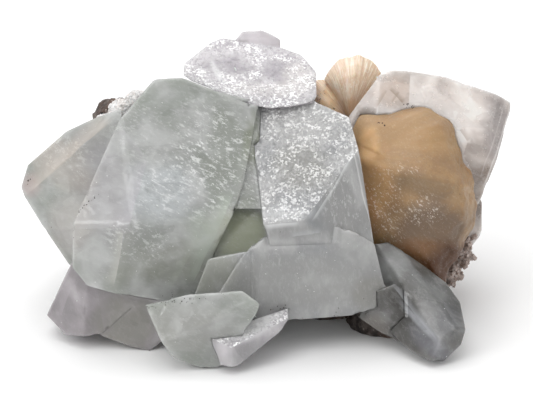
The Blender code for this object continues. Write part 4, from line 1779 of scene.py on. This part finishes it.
@dataclass
class StilbiteFan:
    """A spray of stilbite blades that spread from a waist, grown together into a waxy dome."""

    node: str
    name: str
    finish: Finish
    waist: Spread
    seed: int
    voxel: float = 0.42
    rounds: int = 6
    rib: float = 0.04
    scallop: float = 0.3
    crumb: float = 0.12
    rim_radius: float = 24.0
    foot: float = 16.0
    fold: tuple[Spread, ...] = ()
    fold_height: float = 0.4

    RIBS = 26.0
    RIB_LENGTH = 7.0
    # How far below the foot height the painted shade at the bottom starts and becomes full, and how strong
    # it is.
    LOW = (24.0, 33.0)
    BOTTOM_SHADE = 0.8

    def folded(self, drawing: np.ndarray) -> np.ndarray:
        """How far the fan stands out above its fold, and sinks below it.

        Args:
            drawing: places in the drawing, one row each.

        Returns:
            The heights in millimetres.
        """
        height = np.zeros(len(drawing))
        reach = np.full(len(drawing), 1e9)
        for start, end in zip(self.fold, self.fold[1:]):
            first, along = np.array(start), np.array(end) - np.array(start)
            offset = drawing[:, :2] - first
            share = np.clip(offset @ along / (along @ along), 0.0, 1.0)
            away = offset - share[:, None] * along
            distance = np.linalg.norm(away, axis=1)
            side = np.sign(along[0] * offset[:, 1] - along[1] * offset[:, 0])
            over = np.exp(-distance / 8.0) * smooth(side * distance, -2.2, 1.2)
            under = np.exp(-distance / 5.0) * 0.5
            height = np.where(distance < reach, over - under, height)
            reach = np.minimum(reach, distance)
        return self.fold_height * height

    def build(self) -> list[Object]:
        """Builds and dresses the fan.

        Returns:
            Its objects.
        """
        obj = remeshed(self.name, self.node, self.voxel, self.rounds)
        places, normals = points_of(obj.data), normals_of(obj.data)
        drawing = in_drawing(places)
        x, z = drawing[:, 0] - self.waist[0], drawing[:, 1] - self.waist[1]
        radius, turn = np.hypot(x, z), np.arctan2(z, x)
        contact = Neighbours(self.node).contact(places, 1.1, 0.5)
        rim = smooth(radius, self.rim_radius * 0.75, self.rim_radius * 1.15)
        fan = np.stack([turn * self.RIBS, radius / self.RIB_LENGTH, np.zeros(len(turn))], axis=1)
        ribs = layered_noise(fan, 1.0, self.seed, 3)
        plates = layered_noise(fan * (0.35, 2.2, 1.0), 1.0, self.seed + 7, 2)
        knobs = layered_noise(places, 2.4, self.seed + 11, 3)
        height = self.rib * ribs * (0.4 + rim) + self.scallop * rim * (0.6 * plates + 0.6 * knobs)
        crumbs = layered_noise(places, 1.1, self.seed + 17, 2) * smooth(drawing[:, 1], -8.0, 6.0)
        height += self.crumb * (0.2 + rim) * crumbs
        if self.fold:
            height += self.folded(drawing) * smooth(drawing[:, 2], 4.0, 8.0)
        height = height * (1.0 - contact) + PUSH * contact
        place_points(obj.data, places + normals * height[:, None])
        carry(obj.data, "rim", rim * (1.0 - contact) * smooth(drawing[:, 1], -2.0, 8.0))
        # Painted shade: the low share, darker towards the bottom.
        low = smooth(drawing[:, 1], self.foot - self.LOW[0], self.foot - self.LOW[1])
        carry(obj.data, "low", self.BOTTOM_SHADE * low)
        uv = obj.data.uv_layers.new(name="fan")
        corner = np.empty(len(obj.data.loops), np.int32)
        obj.data.loops.foreach_get("vertex_index", corner)
        uv.data.foreach_set("uv", fan[corner, :2].astype(np.float32).ravel())
        dress(obj, self.finish)
        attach(obj, BODY)
        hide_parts(self.node)
        return [obj]


@dataclass
class Crust:
    """A druse: small blocky crystals that crowd over a lumpy base, scattered by geometry nodes."""

    node: str
    name: str
    finish: Finish
    slot: str
    seed: int
    density: float
    size: float
    base_voxel: float = 0.4

    CLEARANCE = 0.9
    GRAIN = {"Vertices": 4, "Side Segments": 2, "Radius Top": 0.55, "Radius Bottom": 0.8, "Depth": 1.5}

    def tree(self) -> Tree:
        """Builds the tree.

        Returns:
            The tree, with its sizes as named inputs.
        """
        w = Growth(self.name, ("Density", "Size"))
        given = w.given
        points = w.scattered(w.above(w.carried("free"), 0.5))
        grain = w.node("GeometryNodeMeshCone", self.GRAIN).outputs[0]
        lowered = {"Geometry": grain, "Translation": (0.0, 0.0, -self.GRAIN["Depth"] / 2.0)}
        spin = w.chance((-0.5, -0.5, 0.0), (0.5, 0.5, 6.28), 3)
        turned = {"Rotation": points["Rotation"], "Rotate By": spin}
        copies = w.copies({
            "Points": points["Points"],
            "Instance": w.node("GeometryNodeTransform", lowered).outputs[0],
            "Rotation": w.node("FunctionNodeRotateRotation", turned, rotation_space="LOCAL").outputs[0],
            "Scale": w.times(w.chance(0.35, 1.0, 5), given["Size"]),
        })
        both = w.node("GeometryNodeJoinGeometry")
        for part in (given["Geometry"], copies):
            w.tree.links.new(part, both.inputs[0])
        return w.finished(both.outputs[0])

    def build(self) -> list[Object]:
        """Builds and dresses the crust.

        Returns:
            Its objects.
        """
        base = remeshed(self.name + "_base", self.node, self.base_voxel, 2)
        places, normals = points_of(base.data), normals_of(base.data)
        away = Neighbours(self.node).distances(places, 1.5)
        lumps = 0.2 * layered_noise(places, 1.5, self.seed) - 0.15
        place_points(base.data, places + normals * lumps[:, None])
        carry(base.data, "free", away > self.CLEARANCE)
        values = {
            "Density": self.density / (MM * MM),
            "Size": self.size * MM,
            "Seed": self.seed,
            "Material": self.finish.value.material(),
        }
        obj = grown(self.name, base.data, self.tree(), values)
        bpy.data.objects.remove(base)
        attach(obj, BODY)
        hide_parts(self.node)
        return [obj]


@dataclass
class Basalt:
    """The rock that the crystals grew on, rough where it was broken and flat where it was cut."""

    node: str = "basalt_matrix"
    name: str = "basalt_rock"
    cuts: int = 2
    knob: float = 0.85
    knob_size: float = 4.5
    grain: float = 0.42
    grain_size: float = 1.6
    hole: float = 0.5
    hole_size: float = 2.2
    push: float = 0.15
    seed: int = 77

    def build(self) -> list[Object]:
        """Builds and dresses the rock.

        Returns:
            Its objects.
        """
        obj = rough_copy(self.name, self.node)
        finer = obj.modifiers.new("finer", "SUBSURF")
        finer.subdivision_type = "SIMPLE"
        finer.levels = finer.render_levels = self.cuts
        mesh = settled(obj).data
        places, normals = points_of(mesh), normals_of(mesh)
        contact = Neighbours(self.node).contact(places, 1.6, 0.4)
        rough = self.knob * layered_noise(places, self.knob_size, self.seed, 3)
        rough += self.grain * layered_noise(places, self.grain_size, self.seed + 5, 2)
        rough -= self.hole * smooth(layered_noise(places, self.hole_size, self.seed + 9, 1), 0.45, 0.7)
        height = rough * (1.0 - contact) + self.push * contact
        place_points(mesh, moved_out(places, normals, height))
        mesh.polygons.foreach_set("use_smooth", np.ones(len(mesh.polygons), dtype=bool))
        dress(obj, Finish.BASALT)
        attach(obj, BODY)
        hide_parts(self.node)
        return [obj]


@dataclass(frozen=True)
class SpeckRow:
    """A row of dark grains along a line of the drawing."""

    start: Spread
    end: Spread
    count: int
    spread: float = 0.5
    size: float = 0.12


@dataclass
class Specks:
    """Dark grains that lie on the crystals, set down as seen from the front."""

    rows: tuple[SpeckRow, ...]
    name: str = "dark_specks"
    seed: int = 55

    IN_FRONT = 60.0

    def places(self, pieces: list[Object]) -> tuple[list[Vector], list[float]]:
        """Finds where the grains come to lie.

        Args:
            pieces: the pieces that they can lie on.

        Returns:
            Their places in metres, and their sizes in metres.
        """
        graph = bpy.context.evaluated_depsgraph_get()
        trees = [BVHTree.FromObject(piece, graph) for piece in pieces]
        random = np.random.default_rng(self.seed)
        inward = (STAND.to_3x3() @ Vector((0.0, 1.0, 0.0))).normalized()
        found: list[Vector] = []
        sizes: list[float] = []
        for row in self.rows:
            for _ in range(row.count):
                share = random.uniform()
                ends = zip(row.start, row.end)
                x, z = (a + (b - a) * share + random.normal(0.0, row.spread) for a, b in ends)
                start = drawn(x, z, self.IN_FRONT) * MM
                hits = [tree.ray_cast(start, inward) for tree in trees]
                hits = [hit for hit in hits if hit[0] is not None]
                if hits:
                    place, normal, _, _ = min(hits, key=lambda hit: hit[3])
                    size = row.size * random.uniform(0.5, 1.4) * MM
                    found.append(place + normal * size * 0.2)
                    sizes.append(size)
        return found, sizes

    def tree(self) -> Tree:
        """Builds the tree that sets a grain on each point.

        Returns:
            The tree.
        """
        w = Growth(self.name)
        squash = w.chance((0.6, 0.6, 0.4), (1.4, 1.1, 0.9), 9)
        return w.finished(w.copies({
            "Points": w.node("GeometryNodeMeshToPoints", {"Mesh": w.given["Geometry"]}).outputs[0],
            "Instance": w.node("GeometryNodeMeshIcoSphere", {"Radius": 1.0, "Subdivisions": 1}).outputs[0],
            "Rotation": w.chance((0.0, 0.0, 0.0), (6.28, 6.28, 6.28), w.given["Seed"]),
            "Scale": w.vector("SCALE", {0: squash, "Scale": w.carried("size")}),
        }))

    def build(self, pieces: list[Object]) -> Object:
        """Sets the grains down.

        Args:
            pieces: the pieces that they can lie on.

        Returns:
            The grains as one plain mesh.
        """
        places, sizes = self.places(pieces)
        mesh = bpy.data.meshes.new(self.name)
        mesh.from_pydata(places, [], [])
        carry(mesh, "size", sizes)
        values = {"Seed": self.seed, "Material": Finish.SPECK.value.material()}
        obj = grown(self.name, mesh, self.tree(), values)
        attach(obj, BODY)
        return obj


@dataclass
class Cluster:
    """The whole specimen."""

    crystals: tuple[Crystal, ...] = (
        Crystal(
            "great_green_crystal", Finish.GREEN, "green_apophyllite", 1, growth=(0.25, 0.0, 1.0),
            flakes=0.25, flake_turn=24.0, relief=Relief(fillet=1.8),
        ),
        Crystal(
            "left_crystal", Finish.GREEN, "green_apophyllite", 2, growth=(0.5, 0.0, 1.0), flakes=0.2,
            flake_turn=35.0, relief=Relief(fillet=1.0),
        ),
        Crystal("notch_crystal", Finish.GREEN, "green_apophyllite", 3, flakes=0.1, flake_turn=10.0),
        Crystal(
            "foot_crystal", Finish.GREEN, "green_apophyllite", 4, growth=(0.3, 0.0, 1.0), flakes=0.1,
            flake_turn=20.0,
        ),
        Crystal(
            "small_foot_crystal", Finish.SUGARED, "frosted_apophyllite", 5, growth=(1.0, 0.0, 0.4),
            frosted=((0.0, 1.0, 1.0, 1.0),), flakes=0.1,
        ),
        Crystal(
            "top_crystal", Finish.SUGARED, "frosted_apophyllite", 6, growth=(0.1, 0.0, 1.0),
            frosted=((0.05, 1.0, 1.05, 1.0),), flakes=0.05, flake_turn=62.0,
        ),
        Crystal(
            "middle_crystal", Finish.FROSTED, "frosted_apophyllite", 7, growth=(-0.06, 0.0, 1.0),
            frosted=((-0.05, 1.0, 0.6, 0.85),), flakes=0.05, flake_turn=75.0, relief=Relief(fillet=1.8),
        ),
        Crystal(
            "lower_right_crystal", Finish.GREY, "grey_apophyllite", 8, growth=(0.8, 0.0, -1.0), flakes=0.2,
            flake_turn=55.0,
        ),
        Crystal(
            "small_grey_crystal", Finish.GREY, "grey_apophyllite", 9, growth=(0.6, 0.0, -1.0), flakes=0.2,
        ),
        Crystal(
            "lower_left_crystal", Finish.LILAC, "grey_apophyllite", 10, growth=(0.2, 0.0, 1.0), flakes=0.1,
        ),
        Crystal("top_back_crystal", Finish.LILAC, "grey_apophyllite", 11, growth=(0.1, 0.0, 1.0)),
        Crystal(
            "right_crystal", Finish.ROSE, "rose_apophyllite", 12, growth=(0.35, 0.0, 1.0), flakes=0.12,
            flake_turn=35.0, hillocks=(Hillock(41.0, 26.0, 3.0, 2.2, 15.0, 2, 0.2),),
        ),
    )
    fans: tuple[StilbiteFan, ...] = (
        StilbiteFan(
            "stilbite_sheaf", "stilbite_sheaf_blades", Finish.PEACH, (17.5, 10.0), 21, rim_radius=30.0,
            fold=((27.5, 10.5), (31.0, 8.5), (42.0, 7.5), (49.0, 10.5)), scallop=0.8, crumb=0.4, rounds=26,
        ),
        StilbiteFan(
            "stilbite_bud", "stilbite_bud_blades", Finish.PALE_PEACH, (20.5, 20.0), 22, rounds=3, rib=0.14,
            scallop=0.25, rim_radius=15.0, voxel=0.3, foot=50.0,
        ),
    )
    crusts: tuple[Crust, ...] = (
        Crust(
            "white_druse", "white_druse_crust", Finish.WHITE_DRUSE, "white_druse", 31,
            density=2.4, size=0.55,
        ),
        Crust("rose_druse", "rose_druse_crust", Finish.ROSE_DRUSE, "rose_druse", 32, density=0.9, size=1.1),
    )
    rock: Basalt = field(default_factory=Basalt)
    specks: Specks = field(default_factory=lambda: Specks((
        SpeckRow((-27.8, -24.6), (-14.0, -22.0), 30, 0.3),
        SpeckRow((-24.0, -23.0), (-16.0, -23.4), 12, 0.6, 0.10),
        SpeckRow((-14.0, -21.8), (-6.0, -21.6), 8, 0.5, 0.10),
        SpeckRow((-43.5, -3.0), (-41.0, -0.5), 12, 0.15, 0.11),
        SpeckRow((-41.0, -0.5), (-38.5, 1.4), 9, 0.15, 0.10),
        SpeckRow((-46.0, -12.0), (-44.5, -9.0), 5, 0.5, 0.11),
        SpeckRow((-54.5, -3.5), (-50.0, -9.0), 4, 0.4, 0.10),
        SpeckRow((-57.8, 3.4), (-57.2, 5.6), 7, 0.22, 0.14),
        SpeckRow((12.6, 23.5), (14.5, 28.5), 12, 0.5, 0.13),
        SpeckRow((12.8, 23.3), (17.0, 22.6), 10, 0.2, 0.16),
        SpeckRow((33.2, 22.9), (35.6, 22.5), 12, 0.25, 0.15),
        SpeckRow((26.5, 18.4), (28.6, 17.9), 6, 0.15, 0.16),
        SpeckRow((8.0, -28.0), (25.0, -26.5), 22, 0.5, 0.12),
        SpeckRow((1.0, -25.5), (5.0, -25.0), 7, 0.4, 0.12),
        SpeckRow((-10.0, -9.0), (28.0, -22.0), 14, 5.0, 0.09),
        SpeckRow((22.0, 8.0), (40.0, -4.0), 16, 5.0, 0.09),
    )))

    def build(self) -> None:
        """Builds every piece and reports it."""
        made: list[Object] = []
        for part in (*self.crystals, *self.fans, *self.crusts, self.rock):
            made += part.build()
        fronts = [obj for obj in made if not obj.name.endswith("_flakes")]
        made.append(self.specks.build(fronts))
        for obj in made:
            LOG.info("%s: %d faces", obj.name, len(obj.data.polygons))


@dataclass
class Studio:
    """A pale floor, a soft light overhead and in front, and the camera at the photograph's angle."""

    distance: float = 420.0
    lens: float = 116.26
    sensor: float = 36.0
    floor_size: float = 4000.0
    backdrop: float = 1.0
    ambient: float = 0.70

    def build(self) -> None:
        """Builds the floor, the lights, the world and the camera."""
        self.lay_floor()
        self.light("overhead", (-60.0, -20.0, 520.0), 420.0, 0.8)
        self.light("front_left", (-460.0, -420.0, 420.0), 300.0, 1.1)
        self.light("spark", (-90.0, -330.0, 470.0), 220.0, 0.3)
        self.light("backdrop", (0.0, 420.0, 480.0), 600.0, 1.2, (0.0, 360.0, 0.0))
        self.set_world()
        self.set_camera()
        bpy.context.scene.view_settings.view_transform = "Standard"

    def lay_floor(self) -> None:
        """Lays the floor under the specimen."""
        half = self.floor_size / 2.0
        corners = np.array([[-half, -half, 0.0], [half, -half, 0.0], [half, half, 0.0], [-half, half, 0.0]])
        floor = mesh_object("floor", corners, np.array([[0, 1, 2, 3]]))
        dress(floor, Finish.FLOOR)

    def light(self, name: str, place: Place, size: float, power: float, target: Place = MIDDLE) -> None:
        """Hangs a soft square light.

        Args:
            name: the light's name.
            place: where it hangs, in millimetres.
            size: the length of its side, in millimetres.
            power: its power in watts.
            target: what it points at, in millimetres.
        """
        lamp = bpy.data.lights.new(name, "AREA")
        lamp.shape = "SQUARE"
        lamp.size = size * MM
        lamp.energy = power
        obj = added(name, lamp)
        obj.location = Vector(place) * MM
        obj.rotation_euler = (Vector(target) - Vector(place)).to_track_quat("-Z", "Y").to_euler()

    def set_world(self) -> None:
        """Surrounds the scene with even light, and shows the camera a white backdrop."""
        world = bpy.data.worlds.new("studio")
        world.use_nodes = True
        w = Wiring(world.node_tree)
        world.node_tree.nodes.clear()
        direct = w.node("ShaderNodeLightPath").outputs["Is Camera Ray"]
        shares = {"Value": direct, "To Min": self.ambient, "To Max": self.backdrop}
        strength = w.node("ShaderNodeMapRange", shares).outputs[0]
        back = w.node("ShaderNodeBackground", {"Color": (1.0, 1.0, 1.0, 1.0), "Strength": strength})
        w.node("ShaderNodeOutputWorld", {"Surface": back.outputs[0]})
        bpy.context.scene.world = world

    def set_camera(self) -> None:
        """Places the camera at the photograph's angle."""
        data = bpy.data.cameras.new("camera")
        data.lens = self.lens
        data.sensor_width = self.sensor
        data.clip_start, data.clip_end = 0.01, 10.0
        camera = added("camera", data)
        middle = drawn(0.0, 0.0, 0.0)
        spot = drawn(0.0, 0.0, self.distance)
        camera.location = spot * MM
        camera.rotation_euler = (middle - spot).to_track_quat("-Z", "Y").to_euler()
        bpy.context.scene.camera = camera


def main() -> None:
    """Builds the specimen and the studio round it."""
    logging.basicConfig(level=logging.INFO, format="%(name)s %(message)s")
    Cluster().build()
    Studio().build()


if __name__ == "__main__":
    main()
